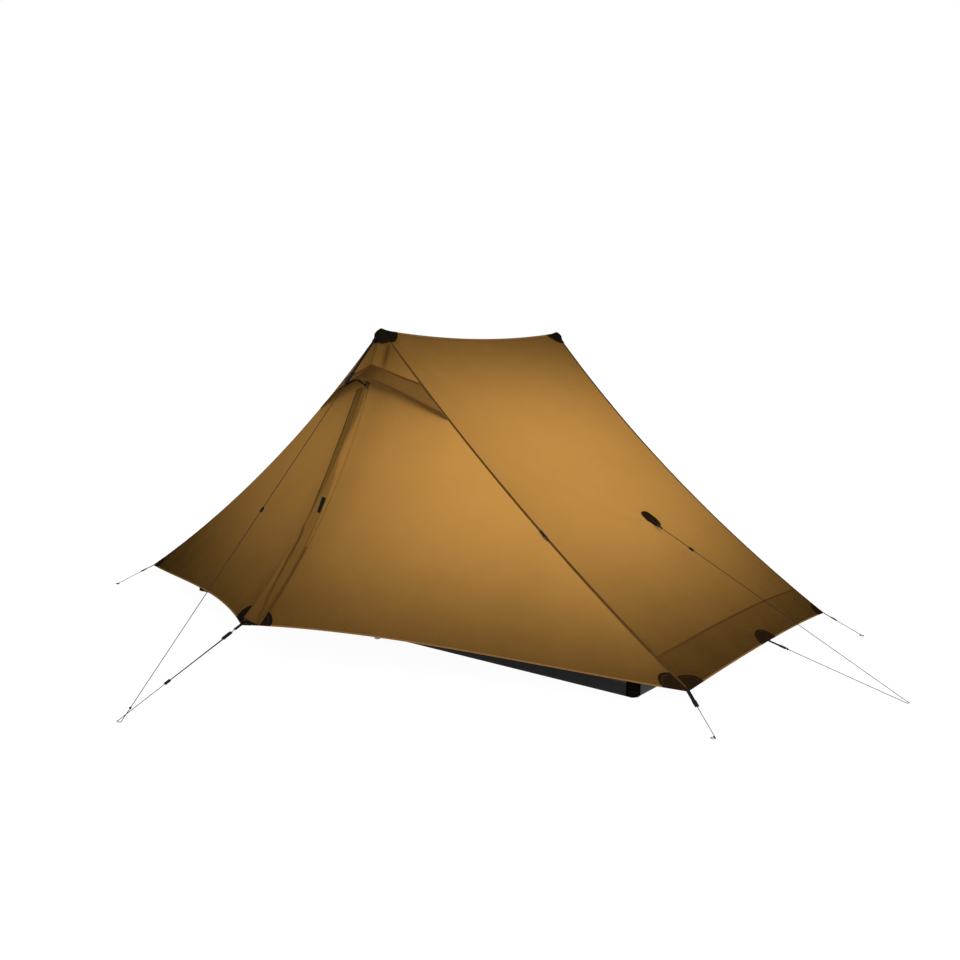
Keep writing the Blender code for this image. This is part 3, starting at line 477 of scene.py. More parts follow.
def bend_with_door(made):
    """Cloth of the opening door, fixed at its seam and free from 12 cm inside it: this finds the hinge's axis and
    the way into the panel, but only bakes the piece's place into its mesh and bends nothing.
    """
    axis = unit(seam_line(DOOR_TOP_SIDE) - CORNER)
    inward = np.cross(LEAF_NORMAL, axis)
    inward = inward if float(inward @ (TOE - CORNER)) > 0.0 else -inward
    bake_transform(made)


# Finishes

class Number:
    """A node's output. Sums, products and comparisons of it each add one Math node."""

    def __init__(self, made, socket):
        self.made = made
        self.socket = socket

    def __add__(self, other):
        return self.made.math("ADD", self, other)

    def __sub__(self, other):
        return self.made.math("SUBTRACT", self, other)

    def __rsub__(self, other):
        return self.made.math("SUBTRACT", other, self)

    def __mul__(self, other):
        return self.made.math("MULTIPLY", self, other)

    def __abs__(self):
        return self.made.math("ABSOLUTE", self)

    def most(self, other):
        return self.made.math("MAXIMUM", self, other)

    def band(self, low, high):
        """0 below low, 1 above high, smooth between."""
        return self.made.add("ShaderNodeMapRange", settings={"interpolation_type": "SMOOTHSTEP"},
                             s0=self, s1=low, s2=high)

    def wave(self, pitch):
        """Sine from 0 to 1 of a number in metres, one wave in each pitch."""
        return self.made.math("SINE", self * (2.0 * math.pi / pitch)) * 0.5 + 0.5


class Tree:
    """Node tree of a material or a world, with short ways to add to it."""

    def __init__(self, owner):
        owner.use_nodes = True
        self.tree = owner.node_tree

    def set(self, node, socket, value):
        """A socket's value, or a link where the value is another node's output."""
        target = node.inputs[socket]
        if isinstance(value, Number):
            self.tree.links.new(value.socket, target)
        elif target.type == "RGBA":
            target.default_value = (*value, 1.0)
        else:
            target.default_value = value

    def add(self, kind, output=0, settings={}, **sockets):
        """A new node's output. Its sockets go by name, or as s and their number."""
        node = self.tree.nodes.new(kind)
        for key, value in settings.items():
            setattr(node, key, value)
        for key, value in sockets.items():
            self.set(node, int(key[1:]) if key[1:].isdigit() else key, value)
        return Number(self, node.outputs[output])

    def math(self, operation, first, second=0.0):
        return self.add("ShaderNodeMath", settings={"operation": operation}, s0=first, s1=second)

    def rays(self):
        """1 for rays from the camera, from gloss and through glass, 0 for all others."""
        seen, glossy, through = (self.add("ShaderNodeLightPath", f"Is {kind} Ray")
                                 for kind in ("Camera", "Glossy", "Transmission"))
        return seen.most(glossy).most(through)


class Finish(Tree):
    """One material and its node tree."""

    def __init__(self, name, colour, roughness):
        self.material = bpy.data.materials.new(name)
        super().__init__(self.material)
        self.material.diffuse_color = (*colour, 1.0)
        self.shader = self.tree.nodes["Principled BSDF"]
        self.surface(Base_Color=tuple(colour), Roughness=roughness)

    def surface(self, **sockets):
        """Sockets of the shader, with _ for each space in their names."""
        for socket, value in sockets.items():
            self.set(self.shader, socket.replace("_", " "), value)

    def mix(self, share, first, second):
        """Colour between two, by a share from 0 to 1."""
        return self.add("ShaderNodeMix", 2, {"data_type": "RGBA"}, s0=share, s6=first, s7=second)

    def parts(self, place):
        """The three numbers of a place."""
        split = self.tree.nodes.new("ShaderNodeSeparateXYZ")
        self.set(split, 0, place)
        return [Number(self, output) for output in split.outputs]

    def cloth_map(self):
        return self.add("ShaderNodeUVMap", settings={"uv_map": "cloth"})

    def uv(self):
        """The two numbers of the piece's own map, across and along."""
        return self.parts(self.cloth_map())[:2]

    def spot(self):
        return self.add("ShaderNodeTexCoord", output=3)

    def glow(self):
        """Painted light and shade of the cloth there, as its piece says."""
        return self.add("ShaderNodeAttribute", 2, {"attribute_name": "glow"})

    def noise(self, place, scale, detail=3.0, roughness=0.5):
        return self.add("ShaderNodeTexNoise", Vector=place, Scale=scale, Detail=detail, Roughness=roughness)

    def bump(self, height, strength, distance=0.001):
        """The last step: relief from a height. It gives the finished material."""
        self.surface(Normal=self.add("ShaderNodeBump", Strength=strength, Distance=distance, Height=height))
        return self.material


def lighter(colour, times):
    """A colour times a number, at most white."""
    return tuple(min(1.0, times * part) for part in colour)


def ripstop(across, along, pitch, low):
    """Raised grid of thicker threads, a pitch apart both ways."""
    return across.wave(pitch).band(low, 1.0).most(along.wave(pitch).band(low, 1.0))


def khaki_cloth(name, light, dark):
    """Coated ripstop: a fine plain weave with a raised grid, in the painted light and shade of its piece, with a
    painted glow: a seventh of its colour given off as emission for the daylight that comes through it."""
    made = Finish(name, light, 0.6)
    place = made.cloth_map()
    across, along = made.parts(place)[:2]
    mottle = made.noise(made.spot(), 9.0, 4.0, 0.6)
    crease = made.noise(place, 22.0, 5.0, 0.62)
    grid = ripstop(across, along, 0.006, 0.93)
    weave = across.wave(0.0008) * along.wave(0.0008)
    # Painted light and shade: the glow mixes the shaded and the lit colour, with a little random mottle
    colour = made.mix(made.glow() + (mottle - 0.5) * 0.06, dark, light)
    shade = made.mix(grid * 0.05, colour, (0.55, 0.36, 0.16))
    # The emission is a painted glow that stands in for light coming through the cloth
    made.surface(Base_Color=shade, Roughness=crease * 0.2 + 0.5, Specular_IOR_Level=0.0,
                 Emission_Color=shade, Emission_Strength=0.15)
    return made.bump((grid * 0.9 + weave * 0.3) * 0.12 + crease * 2.2, 0.35)


def stitched(across, along, colour, thread, rows=(0.14, 0.86)):
    """Two rows of stitches: short threads lying along the strip with gaps between them."""
    left, right = (1.0 - abs(across - at).band(0.014, 0.035) for at in rows)
    stitch = left.most(right) * along.wave(0.0032).band(0.25, 0.5)
    return across.made.mix(stitch, colour, thread), stitch


def trim_cloth(name, colour, thread):
    """Doubled and folded cloth of seams, hems and patches, with its stitch rows and needle dents."""
    made = Finish(name, colour, 0.6)
    across, along = made.uv()
    wear = made.noise(made.spot(), 55.0, 4.0, 0.6)
    # Lighter by random wear and, by half, by the painted light of the piece
    base = made.mix(wear * 0.25 + made.glow() * 0.5, colour, lighter(colour, 1.9))
    painted, stitch = stitched(across, along, base, thread)
    made.surface(Base_Color=painted, Roughness=wear * 0.2 + 0.6, Specular_IOR_Level=0.0)
    return made.bump(along.wave(0.0009) * 0.15 + stitch * 0.6 + wear * 0.5, 0.5)


def webbing(name, colour):
    """Woven tape: ribs across, a herringbone of threads, and a line of stitches near each edge."""
    made = Finish(name, colour, 0.62)
    across, along = made.uv()
    rib = along.wave(0.0016)
    weave = rib * (along + across * 0.006).wave(0.0024)
    base = made.mix(weave * 0.6, colour, lighter(colour, 2.6))
    painted, stitch = stitched(across, along, base, (0.022, 0.022, 0.022), (0.1, 0.9))
    made.surface(Base_Color=painted, Roughness=rib * 0.2 + 0.5, Specular_IOR_Level=0.01)
    return made.bump(weave + stitch * 0.4, 0.7, 0.0006)


def netting(name, colour):
    """Insect netting: fine crossed threads with open holes between them."""
    made = Finish(name, colour, 0.75)
    across, along = made.uv()
    first, second = (number.wave(0.0026).band(0.42, 0.62) for number in (across + along, across - along))
    thread = first.most(second)
    dust = made.noise(made.spot(), 30.0)
    made.surface(Base_Color=made.mix(dust, colour, tuple(0.045 + part for part in colour)), Alpha=thread,
                 Roughness=dust * 0.2 + 0.6, Specular_IOR_Level=0.1)
    return made.bump(thread, 0.5, 0.0004)


def floor_cloth(name, colour):
    """Coated floor cloth: dark grey ripstop with soft creases, black along the ground."""
    made = Finish(name, colour, 0.5)
    spot = made.spot()
    crease = made.noise(spot, 16.0, 5.0, 0.65)
    grid = ripstop(*made.uv(), 0.005, 0.92)
    shade = made.mix(crease * 0.6 + grid * 0.3, colour, lighter(colour, 1.7))
    ground = 1.0 - made.parts(spot)[2].band(0.046, 0.050)
    made.surface(Base_Color=made.mix(ground, shade, (0.012, 0.012, 0.012)), Roughness=crease * 0.3 + 0.32,
                 Specular_IOR_Level=0.15)
    return made.bump(crease * 3.0 + grid * 0.2, 0.4)


def braid(name, colour):
    """Round braided cord: two sets of strands that wind opposite ways, with a pale tracer."""
    made = Finish(name, colour, 0.6)
    across, along = made.uv()
    turn = across * 0.0075
    left, right = (along + turn).wave(0.0025), (along - turn).wave(0.0025)
    strands = left.most(right)
    base = made.mix(strands, lighter(colour, 0.7), colour)
    shade = made.mix((left * right).band(0.90, 0.98) * 0.3, base, (0.08, 0.066, 0.050))
    made.surface(Base_Color=shade, Roughness=strands * 0.2 + 0.5, Specular_IOR_Level=0.1)
    return made.bump(strands, 0.6, 0.0004)


def moulded(name, colour):
    """Moulded plastic: a fine spark-eroded grain, slightly polished where it is handled."""
    made = Finish(name, colour, 0.4)
    spot = made.spot()
    wear = made.noise(spot, 60.0, 4.0, 0.6)
    made.surface(Base_Color=made.mix(wear.band(0.45, 0.85), colour, lighter(colour, 2.2)),
                 Roughness=0.52 - wear * 0.24, Specular_IOR_Level=0.04)
    return made.bump(made.noise(spot, 1400.0, 2.0) + wear * 0.5, 0.25, 0.0003)


def foam(name, colour):
    """Closed cell foam of the grip: open pores, and a painted sheen for the palm's rubbing: lighter colour in random
    patches.
    """
    made = Finish(name, colour, 0.8)
    spot = made.spot()
    pores = made.add("ShaderNodeTexVoronoi", Vector=spot, Scale=900.0)
    # Painted sheen: lighter colour in random patches among the pores
    shade = made.mix(made.noise(spot, 40.0) * pores, colour, lighter(colour, 2.4))
    made.surface(Base_Color=shade, Roughness=pores * 0.3 + 0.6)
    return made.bump(pores, 0.5, 0.0006)


def alloy(name, colour):
    """Drawn and anodised tube: fine lines round it and along it, with small handling marks."""
    made = Finish(name, colour, 0.3)
    spot = made.spot()
    lines = made.noise(made.add("ShaderNodeMapping", Vector=spot, Scale=(1.0, 1.0, 0.02)), 1600.0, 2.0)
    marks = made.noise(spot, 120.0, 5.0, 0.7)
    made.surface(Base_Color=made.mix(marks.band(0.55, 0.8), colour, lighter(colour, 1.5)), Metallic=1.0,
                 Roughness=marks * 0.25 + 0.2)
    return made.bump(lines + marks, 0.15, 0.0002)


def zip_teeth(name, colour):
    """Coil of the zip: one narrow turn after another."""
    made = Finish(name, colour, 0.45)
    turns = made.uv()[1].wave(0.0014)
    made.surface(Base_Color=made.mix(turns, colour, lighter(colour, 3.0)), Roughness=turns * 0.15 + 0.35)
    return made.bump(turns, 0.9, 0.0006)


FINISH = {}


def make_finishes():
    """All finishes of the tent, made once from the panel's colours."""
    if FINISH:
        return
    props = bpy.context.scene.tent_colours
    for key, kind, name, *colours in (
            ("khaki", khaki_cloth, "khaki_ripstop_cloth", props.cloth_painted_light, props.cloth_painted_shade),
            ("trim", trim_cloth, "dark_reinforcement_cloth", props.trim_colour, (0.030, 0.017, 0.009)),
            ("seam", trim_cloth, "felled_seam_cloth", props.seam_colour, (0.12, 0.065, 0.025)),
            ("hem", trim_cloth, "hem_binding_cloth", props.hem_colour, (0.30, 0.16, 0.06)),
            ("black_trim", trim_cloth, "black_reinforcement_cloth", (0.006, 0.0042, 0.0026),
             (0.016, 0.012, 0.008)),
            ("net", netting, "black_netting", props.net_colour),
            ("vent_net", netting, "brown_netting", (0.085, 0.050, 0.020)),
            ("web", webbing, "black_webbing_tape", (0.005, 0.005, 0.005)),
            ("tape", webbing, "zip_tape", (0.010, 0.0085, 0.007)),
            ("teeth", zip_teeth, "zip_coil", (0.02, 0.018, 0.016)),
            ("floor", floor_cloth, "grey_floor_cloth", props.floor_colour),
            ("cord", braid, "grey_braided_cord", props.cord_colour),
            ("plastic", moulded, "black_moulded_plastic", (0.006, 0.006, 0.006)),
            ("foam", foam, "grip_foam_skin", props.foam_colour),
            ("alloy", alloy, "pole_alloy_tube", props.pole_colour)):
        FINISH[key] = kind(name, *colours)


def refinish(node, finish):
    """A node of the part that keeps its shape gets a better finish as its only material."""
    make_finishes()
    node.data.materials.clear()
    node.data.materials.append(FINISH[finish])


# Outlines of the fly's pieces

def vent_seam(side):
    """Seam above the hood, as a share down: a straight line of the distance."""
    return VENT_TOP_MIDDLE + (VENT_TOP_SIDE - VENT_TOP_MIDDLE) * abs(side)


def door_top(side):
    """Foot of the netting window: the power 1.5 of the distance to the middle."""
    return DOOR_TOP_MIDDLE + (DOOR_TOP_SIDE - DOOR_TOP_MIDDLE) * abs(side) ** 1.5


def sill(side):
    """Top edge of the door cloth as it is sewn: it reaches up behind the hood's brim."""
    return SILL_MIDDLE + (SILL_SIDE - SILL_MIDDLE) * abs(side) ** 1.5


def band_points(top, bottom, columns, rows):
    """Points across both halves of the door between two lines given as shares down."""
    side = span(-1.0, 1.0, columns)[None, :]
    down = top(side) + (bottom(side) - top(side)) * span(0.0, 1.0, rows)[:, None]
    return leaf(side * (1.0 - SEAM_GAP / (HEM_LENGTH * down)), down)


def leaf_shares(columns, rows, edge_x):
    """Shares across and down over a door panel from a line edge_x beside the zip to the seam."""
    share = span(0.0, 1.0, columns)[None, :]
    fall = span(0.0, 1.0, rows)[:, None]
    across = share + 0.0 * fall
    edge = 0.02 + 0.0 * across
    for _ in range(6):
        down = sill(across) + (1.0 - sill(across)) * fall
        edge = edge * edge_x / leaf(edge, down)[..., 0]
        across = edge + (1.0 - edge) * share
    return across * (1.0 - SEAM_GAP / (HEM_LENGTH * down)), down


def hood_points(side, out):
    """Hood from the vent seam to its brim, standing off most in the middle."""
    root = vent_seam(side) - HOOD_LAP / ZIP_CHORD
    brim = BRIM_MIDDLE + (BRIM_SIDE - BRIM_MIDDLE) * abs(side) ** 1.5
    down = root + (brim - root) * out
    lift = HOOD_STANDOFF * (1.0 - abs(side) ** 2.2) * out ** 1.15
    lean = unit(np.stack(np.broadcast_arrays(LEAF_NORMAL[0] * side + 0.0 * out, *LEAF_NORMAL[1:]), -1))
    return leaf(side + 0.0 * out, down) + column(lift) * lean


def panel_drop(offset, down):
    """How far the door panel lies below the zip's line at a distance beside it."""
    beside = leaf(offset / seam_line(down)[..., 0], down)
    return np.einsum("ij,ij->i", beside - zip_line(down), zip_normal(down))


def beside_zip(down, x, lift):
    """Points at a distance beside the zip's line, lifted off the door panels."""
    base, rise = zip_line(down)[:, None], zip_normal(down)[:, None]
    beside = leaf(abs(x) / seam_line(down)[:, None, 0], down[:, None])
    drop = ((beside - base) * rise).sum(-1)
    return base + column(x) * ALONG_X + column(drop + lift) * rise


def flap_lines(down):
    """Distances beside the zip of the storm flap's seam, a straight slant, of its free edge, and of the
    fold pressed into it, which runs by straight lines between a few shares of the way down."""
    fall = (down - FLAP_TOP) / (FLAP_END - FLAP_TOP)
    fold = np.interp(fall, [0.0, 0.1, 0.27, 0.45, 0.62, 0.75, 0.88, 1.0],
                     [-0.060, -0.067, -0.063, -0.038, 0.002, 0.006, 0.016, 0.044])
    return fall, 0.013 + 0.045 * fall, np.minimum(fold, -0.014), fold


def flap_points(down, x):
    """Storm flap: it lies on the panels and rises over the coil as a bell of the distance."""
    return beside_zip(down, x, FLAP_BASE + FLAP_LIFT * np.exp(-(x / 0.011) ** 2))


def flap_glow(points, down, x):
    """Painted light of the flap, which is doubled cloth: painted shade darker than the panel up to its fold,
    with a painted shadow line at the fold and, lower down, at its seam."""
    fall, seam, _, fold = (column(line) for line in flap_lines(down))
    shade = seam - np.interp(fall, [0.0, 0.1, 0.27, 0.45, 0.62, 0.79], [0.0, 0.003, 0.020, 0.010, 0.005, 0.0])
    # Painted shade of the doubled cloth, up to the fold
    body = np.clip((shade - x) / (0.4 * seam), 0.0, 1.0) * (x > fold)
    tone = np.where(x > fold, 0.78, 0.80) * (1.0 - 0.48 * (1.0 - fall ** 2.2) * body)
    # Painted shadow line at the fold
    tone = tone * (1.0 - 0.6 * np.exp(-((x - fold - 0.002) / 0.0035) ** 2))
    # Painted shadow line at the seam
    return glow_at(points) * tone * (1.0 - 0.6 * fall * np.exp(-((x - shade + 0.004) / 0.005) ** 2))


def polar(hub, reach_a, reach_b, turn):
    """Shares over a round patch: hub + reach * radius * (cosine, sine) of the turn."""
    radius = span(0.03, 1.0, 9)[:, None]
    return hub[0] + reach_a * radius * np.cos(turn), hub[1] - reach_b * radius * np.sin(turn)


def wall_edge(x):
    """Height of the netting wall's top edge under the end panel, at a distance from the middle."""
    down = span(0.0, 1.0, 60)
    along = span(0.0, 0.12, 25)
    sheet = end_panel(along[None, :], down[:, None])
    share = np.array([np.interp(-TUB_HALF_WIDTH, row, along) for row in sheet[..., 1]])
    edge = end_panel(share, down)
    return np.interp(abs(np.asarray(x, float)), edge[:, 0], edge[:, 2] - 0.0026 / END_NORMAL[2])


def mesh_door_outline():
    """Free edge, top, foot and sill of the netting door's opening in x and z."""
    sill = TUB_WALL + MESH_DOOR_SILL
    top = float(wall_edge(0.040)) - 0.14
    x = span(0.3, 1.3, 400)
    foot = float(np.interp(-(sill + 0.19), -wall_edge(x), x))
    return 0.040, top, foot, sill


def stake_turn(stake, run, angle):
    """Arc of a cord round the place of its stake, flat on the ground."""
    flat = unit(np.array([run[0], run[1], 0.0]))
    side = np.array([-flat[1], flat[0], 0.0])
    turn = np.radians(span(0.0, angle, 25))[:, None]
    centre = stake + np.array([0.0, 0.0, CORD_RADIUS + CORD_CLEAR])
    return centre + LOOP_RADIUS * (np.cos(turn) * side + np.sin(turn) * flat)


def peak_fan(distance, spread):
    """Closed ring at one distance round the front peak, on the fly's own surface."""
    share = span(0.0, 1.0, spread + 1)[:-1]
    wide = distance * (1.5 - 0.52 * share) * (1.0 + 0.25 * bow(share))
    on_end = end_panel(wide * (1.0 - share) / RIDGE, wide * share / SEAM_LENGTH)
    reach = np.linalg.norm(hem_line(1.0 - share) - PEAK, axis=-1)
    on_leaf = leaf(1.0 - share, distance * (0.98 - 0.20 * share) / reach)
    half_ring = np.concatenate([on_end, on_leaf])
    middle = leaf(np.array([0.0]), np.array([0.78 * distance / ZIP_CHORD]))
    return np.concatenate([half_ring, middle, (half_ring * MIRROR_X)[1:][::-1]])


PEAK_TIE = zip_line(0.014 / ZIP_CHORD) + 0.0053 * zip_normal(0.014 / ZIP_CHORD)
TOE_TIE = TOE + np.array([0.0, -0.006, -0.002])
HIGH_TIE = end_panel(0.5, END_PULL_DOWN) + 0.0017 * END_NORMAL
LOW_TIE = end_hem_line(LOW_TIE_ALONG) + np.array([0.006, 0.0, -0.002])
DOOR_FACE = np.array([0.0, LEAF_NORMAL[1], LEAF_NORMAL[2]])
SIDES = (("front", "foot", 1.0), ("back", "head", -1.0))


# Fly

HEM_RUN = unit(CORNER - TOE)
END_FOLDS = [((-0.65, 0.0), 0.34, 9.0, 0.0017), ((0.65, 0.0), 0.34, 9.0, 0.0017),
             ((-0.67, SEAM_LENGTH), 0.42, 8.0, 0.0024), ((0.67, SEAM_LENGTH), 0.42, 8.0, 0.0024),
             ((0.0, END_PULL_DOWN * SEAM_LENGTH), 0.24, 6.0, 0.0020), ((0.0, SEAM_LENGTH), 0.16, 6.0, 0.0016)]
LEAF_FOLDS = [([(spot - PEAK) @ HEM_RUN, -(spot - PEAK) @ HEM_UP], reach, lobes, amount)
              for spot, reach, lobes, amount in ((PEAK, 0.45, 10.0, 0.0016), (CORNER, 0.45, 9.0, 0.0026),
                                                 (TOE, 0.30, 7.0, 0.0022))]
HOOD_FOLDS = [((0.0, HOOD_DEPTH), 0.12, 6.0, 0.0022), ((-0.4, 0.0), 0.2, 7.0, 0.0018),
              ((0.4, 0.0), 0.2, 7.0, 0.0018)]


def fold_height(flat, anchors, edge):
    """Height of the folds, times the setting of the panel."""
    return column(bpy.context.scene.tent_cloth.fold_height / 0.002 * folds(flat, anchors, edge))


def end_folded(along, down):
    """End panel with its folds, for its cloth and for all that is sewn on it."""
    along, down = np.broadcast_arrays(np.asarray(along, float), np.asarray(down, float))
    flat = np.stack([(along - 0.5) * FOLD_WIDTH, down * SEAM_LENGTH], -1)
    edge = np.minimum(np.minimum(along, 1.0 - along) * FOLD_WIDTH, np.minimum(down, 1.0 - down) * SEAM_LENGTH)
    return end_panel(along, down) + fold_height(flat, END_FOLDS, edge) * END_NORMAL


def leaf_folded(across, down):
    """Door panel with its folds, for its cloth and for all that is sewn on it."""
    points = leaf(across, down)
    flat = np.stack([(points - PEAK) @ HEM_RUN, -(points - PEAK) @ HEM_UP], -1)
    edge = np.minimum(np.minimum((points[..., 0] - ZIP_HALF_WIDTH) * 2.0, (1.0 - across) * HEM_LENGTH * down),
                      np.minimum((down - sill(across)) * ZIP_CHORD, (1.0 - down) * ZIP_CHORD))
    return points + fold_height(flat, LEAF_FOLDS, edge) * LEAF_NORMAL


def end_cloth(end, half):
    """End panel's cloth, its painted light darker below its cross seam and lighter far from the ridge."""
    down = np.concatenate([span(0.0009, CROSS_SEAM, 128), span(CROSS_SEAM + 0.0008, 1.0, 14)])[:, None]
    points = end_folded(span(0.0012, 0.9988, 130)[None, :], down)
    glow = glow_at(points) * np.where(down > CROSS_SEAM, 0.70, 1.0)
    glow = glow * (1.04 + 0.22 * np.clip((points[..., 0] - 0.6) / 0.6, 0.0, 1.0))
    add_cloth(end + "_end_cloth", points, END_NORMAL, "khaki", end + "_end_panel", half, glow=glow)


def leaf_cloth(prefix, half, name, body, flip):
    """Door panel right of the zip, which opens, or left of it, which is fixed."""
    points = leaf_folded(*leaf_shares(100, 130, ZIP_HALF_WIDTH)) * flip
    add_cloth(f"{prefix}_{name}_cloth", points, LEAF_NORMAL * flip, "khaki", f"{prefix}_{name}_leaf", half, body,
              glow=door_glow(points))


def hood(prefix, half):
    """Hood with its folds, its turned brim, and the seam that holds its root."""
    side, out = span(-0.988, 0.988, 112), span(0.0, 1.0, 26)
    points = hood_points(side[None, :], out[:, None])
    flat = np.stack(np.broadcast_arrays(side[None, :] * (0.5 * HOOD_WIDTH), out[:, None] * HOOD_DEPTH), -1)
    edge = np.minimum(np.minimum(out, 1.02 - out)[:, None] * HOOD_DEPTH, (0.988 - abs(side))[None, :] * 0.4)
    points = points + (0.0008 + fold_height(flat, HOOD_FOLDS, edge)) * grid_normals(points, DOOR_FACE)
    # Painted shade: the hood darker than the panels, most in its middle
    glow = glow_at(points) * (0.465 - 0.265 * np.exp(-((points[..., 0] - 0.01) / 0.032) ** 2))
    add_cloth(prefix + "_hood_cloth", points, DOOR_FACE, "khaki", prefix + "_vent_hood", half, glow=glow)
    brim = hood_points(side[:, None], span(0.78, 1.0, 6)[None, :])
    add_piece(prefix + "_hood_hem", [strip_patch(brim, 0.0016, DOOR_FACE, crown=0.0006)], "seam", half,
              wall=0.0017)
    wide = span(0.0, 1.0, 5)[None, :]
    root = leaf(side[:, None] + 0.0 * wide,
                vent_seam(side)[:, None] - (HOOD_LAP + 0.003 - 0.009 * wide) / ZIP_CHORD)
    add_piece(prefix + "_vent_seam", [strip_patch(root, 0.0020, DOOR_FACE, crown=0.0007)], "seam", half,
              wall=0.0008)


def vent_parts(prefix, half):
    """Netting behind the hood, the strut that props the brim, and its sewn sleeve."""
    points = band_points(vent_seam, door_top, 70, 20)
    points = points - 0.0014 * grid_normals(points, DOOR_FACE)
    add_cloth(prefix + "_vent_netting", points, DOOR_FACE, "vent_net", prefix + "_vent_mesh", half)
    rim = band_points(lambda s: sill(s) - 0.003 / ZIP_CHORD, lambda s: sill(s) + 0.005 / ZIP_CHORD, 90, 4)
    add_piece(prefix + "_vent_sill", [strip_patch(rim[:, :44].transpose(1, 0, 2), 0.0005, DOOR_FACE)], "seam", half,
              wall=0.0010)
    apex = hood_points(np.array([0.0]), np.array([1.0]))[0] - STRUT_CLEAR * zip_normal(STRUT_FOOT)
    foot = zip_line(STRUT_FOOT) + STRUT_CLEAR * zip_normal(STRUT_FOOT)
    run = unit(foot - apex)
    strut = bar(apex + 0.002 * run, foot - 0.001 * run, 0.0016, 0.012, ALONG_X, 9, 3.5)
    sleeve = bar(apex + 0.003 * run, apex + 0.020 * run, 0.0022, 0.0145, ALONG_X, 5, 3.5, 1)
    add_piece(prefix + "_strut", [strut, sleeve], "plastic black_trim", half, prefix + "_vent_strut",
              prefix + "_vent_strut")


class TENT_OT_fly(bpy.types.Operator):
    """Cloth of the fly: end panels, door panels, yokes, vent hoods and netting windows"""
    bl_idname = "tent.fly"
    bl_label = "Fly cloth"

    def execute(self, context):
        yoke = band_points(lambda s: 0.008 + 0.0 * s, vent_seam, 120, 40)
        for prefix, end, half in SIDES:
            end_cloth(end, half)
            leaf_cloth(prefix, half, "door", prefix + "_door", 1.0)
            leaf_cloth(prefix, half, "fixed", "tent", MIRROR_X)
            add_cloth(prefix + "_yoke_cloth", yoke, DOOR_FACE, "khaki", prefix + "_yoke", half, fan=True,
                      glow=door_glow(yoke))
            hood(prefix, half)
            vent_parts(prefix, half)
        return {"FINISHED"}


# Seams, hems, caps and patches

def felled_seam(end, half):
    """Seams up one slope and down the other, and the ridge between them, laid on the panel's edge."""
    slope = span(0.992, 0.004, 90)[:, None]
    side = span(0.0, 1.0, 6)[None, :] * 0.0115
    parts = []
    for along, down, finish in ((0.0 * slope, slope, 0), (span(0.0, 1.0, 70)[:, None], np.zeros((70, 1)), 1),
                                (1.0 + 0.0 * slope, slope[::-1], 0)):
        inner = np.clip(along, side / RIDGE, 1.0 - side / RIDGE)
        points = end_folded(inner, np.maximum(down, side / SEAM_LENGTH))
        parts.append(strip_patch(points, 0.0004, END_NORMAL, finish, 0.0007))
    add_piece(end + "_felled_seam", parts, "seam hem", half, node=end + "_end_seam", wall=0.0008, grow=1.0)


def hem_binding(name, path, up, half, body="tent"):
    """Folded binding round a hem: a flat rounded bar along the cloth's edge."""
    add_piece(name, [tube_patch(path, 0.0062, 0.0024, up, count=14, power=2.6)], "hem", half, body,
              bends=body != "tent")


def peak_cover(prefix, half):
    """Doubled cap over the peak: a fan of the fly's own surface, eased round, lifted off it and
    swollen over the pole's grip to a ball, the sixth root of the sum of two sixth powers."""
    rings = np.stack([peak_fan(share * 1.12 * CAP_RADIUS, 14) for share in span(0.03, 1.0, 16)])
    ease = span(4.0, 1.0, 16)[:, None, None] / 8.0
    for _ in range(6):
        rings = (1.0 - ease) * rings + ease * 0.5 * (np.roll(rings, 1, 1) + np.roll(rings, -1, 1))
    rings = rings + 0.0036 * unit(rings - np.array([0.0, -0.50, 1.02]))
    reach = np.linalg.norm(rings - CAP_HUB, axis=-1)
    rings = CAP_HUB + column((reach ** 6 + CAP_BALL ** 6) ** (1.0 / 6.0)) * unit(rings - CAP_HUB)
    add_piece(prefix + "_peak_cover", [patch(rings, wrap=True, lids="first", outward=UP, strip="rows")],
              "black_trim", half, node=prefix + "_peak_cap", wall=0.0014, grow=1.0)


def patch_on_leaf(hub, reach, turn, flip, finish=0):
    """Round patch on a door panel: its hub in shares, its reach along hem and zip in metres."""
    across, down = polar(hub, reach[0] / HEM_LENGTH, reach[1] / ZIP_CHORD, turn)
    least = (ZIP_HALF_WIDTH + 0.0012) / seam_line(down)[..., 0]
    surface = leaf_folded(np.maximum(across, least), down) * flip
    lifted = surface + 0.0006 * grid_normals(surface, LEAF_NORMAL * flip)
    return patch(lifted, LEAF_NORMAL * flip, strip="rows", finish=finish)


def patch_on_end(hub, reach, turn, wrap=False):
    """Round patch on an end panel: its hub in shares, its reach across and down in metres."""
    along, down = polar(hub, reach[0] / END_WIDTH, reach[1] / SEAM_LENGTH, turn)
    surface = end_folded(along, down)
    normal = END_NORMAL if wrap else grid_normals(surface, END_NORMAL)
    return patch(surface + 0.0007 * normal, END_NORMAL, wrap=wrap, lids="first" if wrap else "", strip="rows")


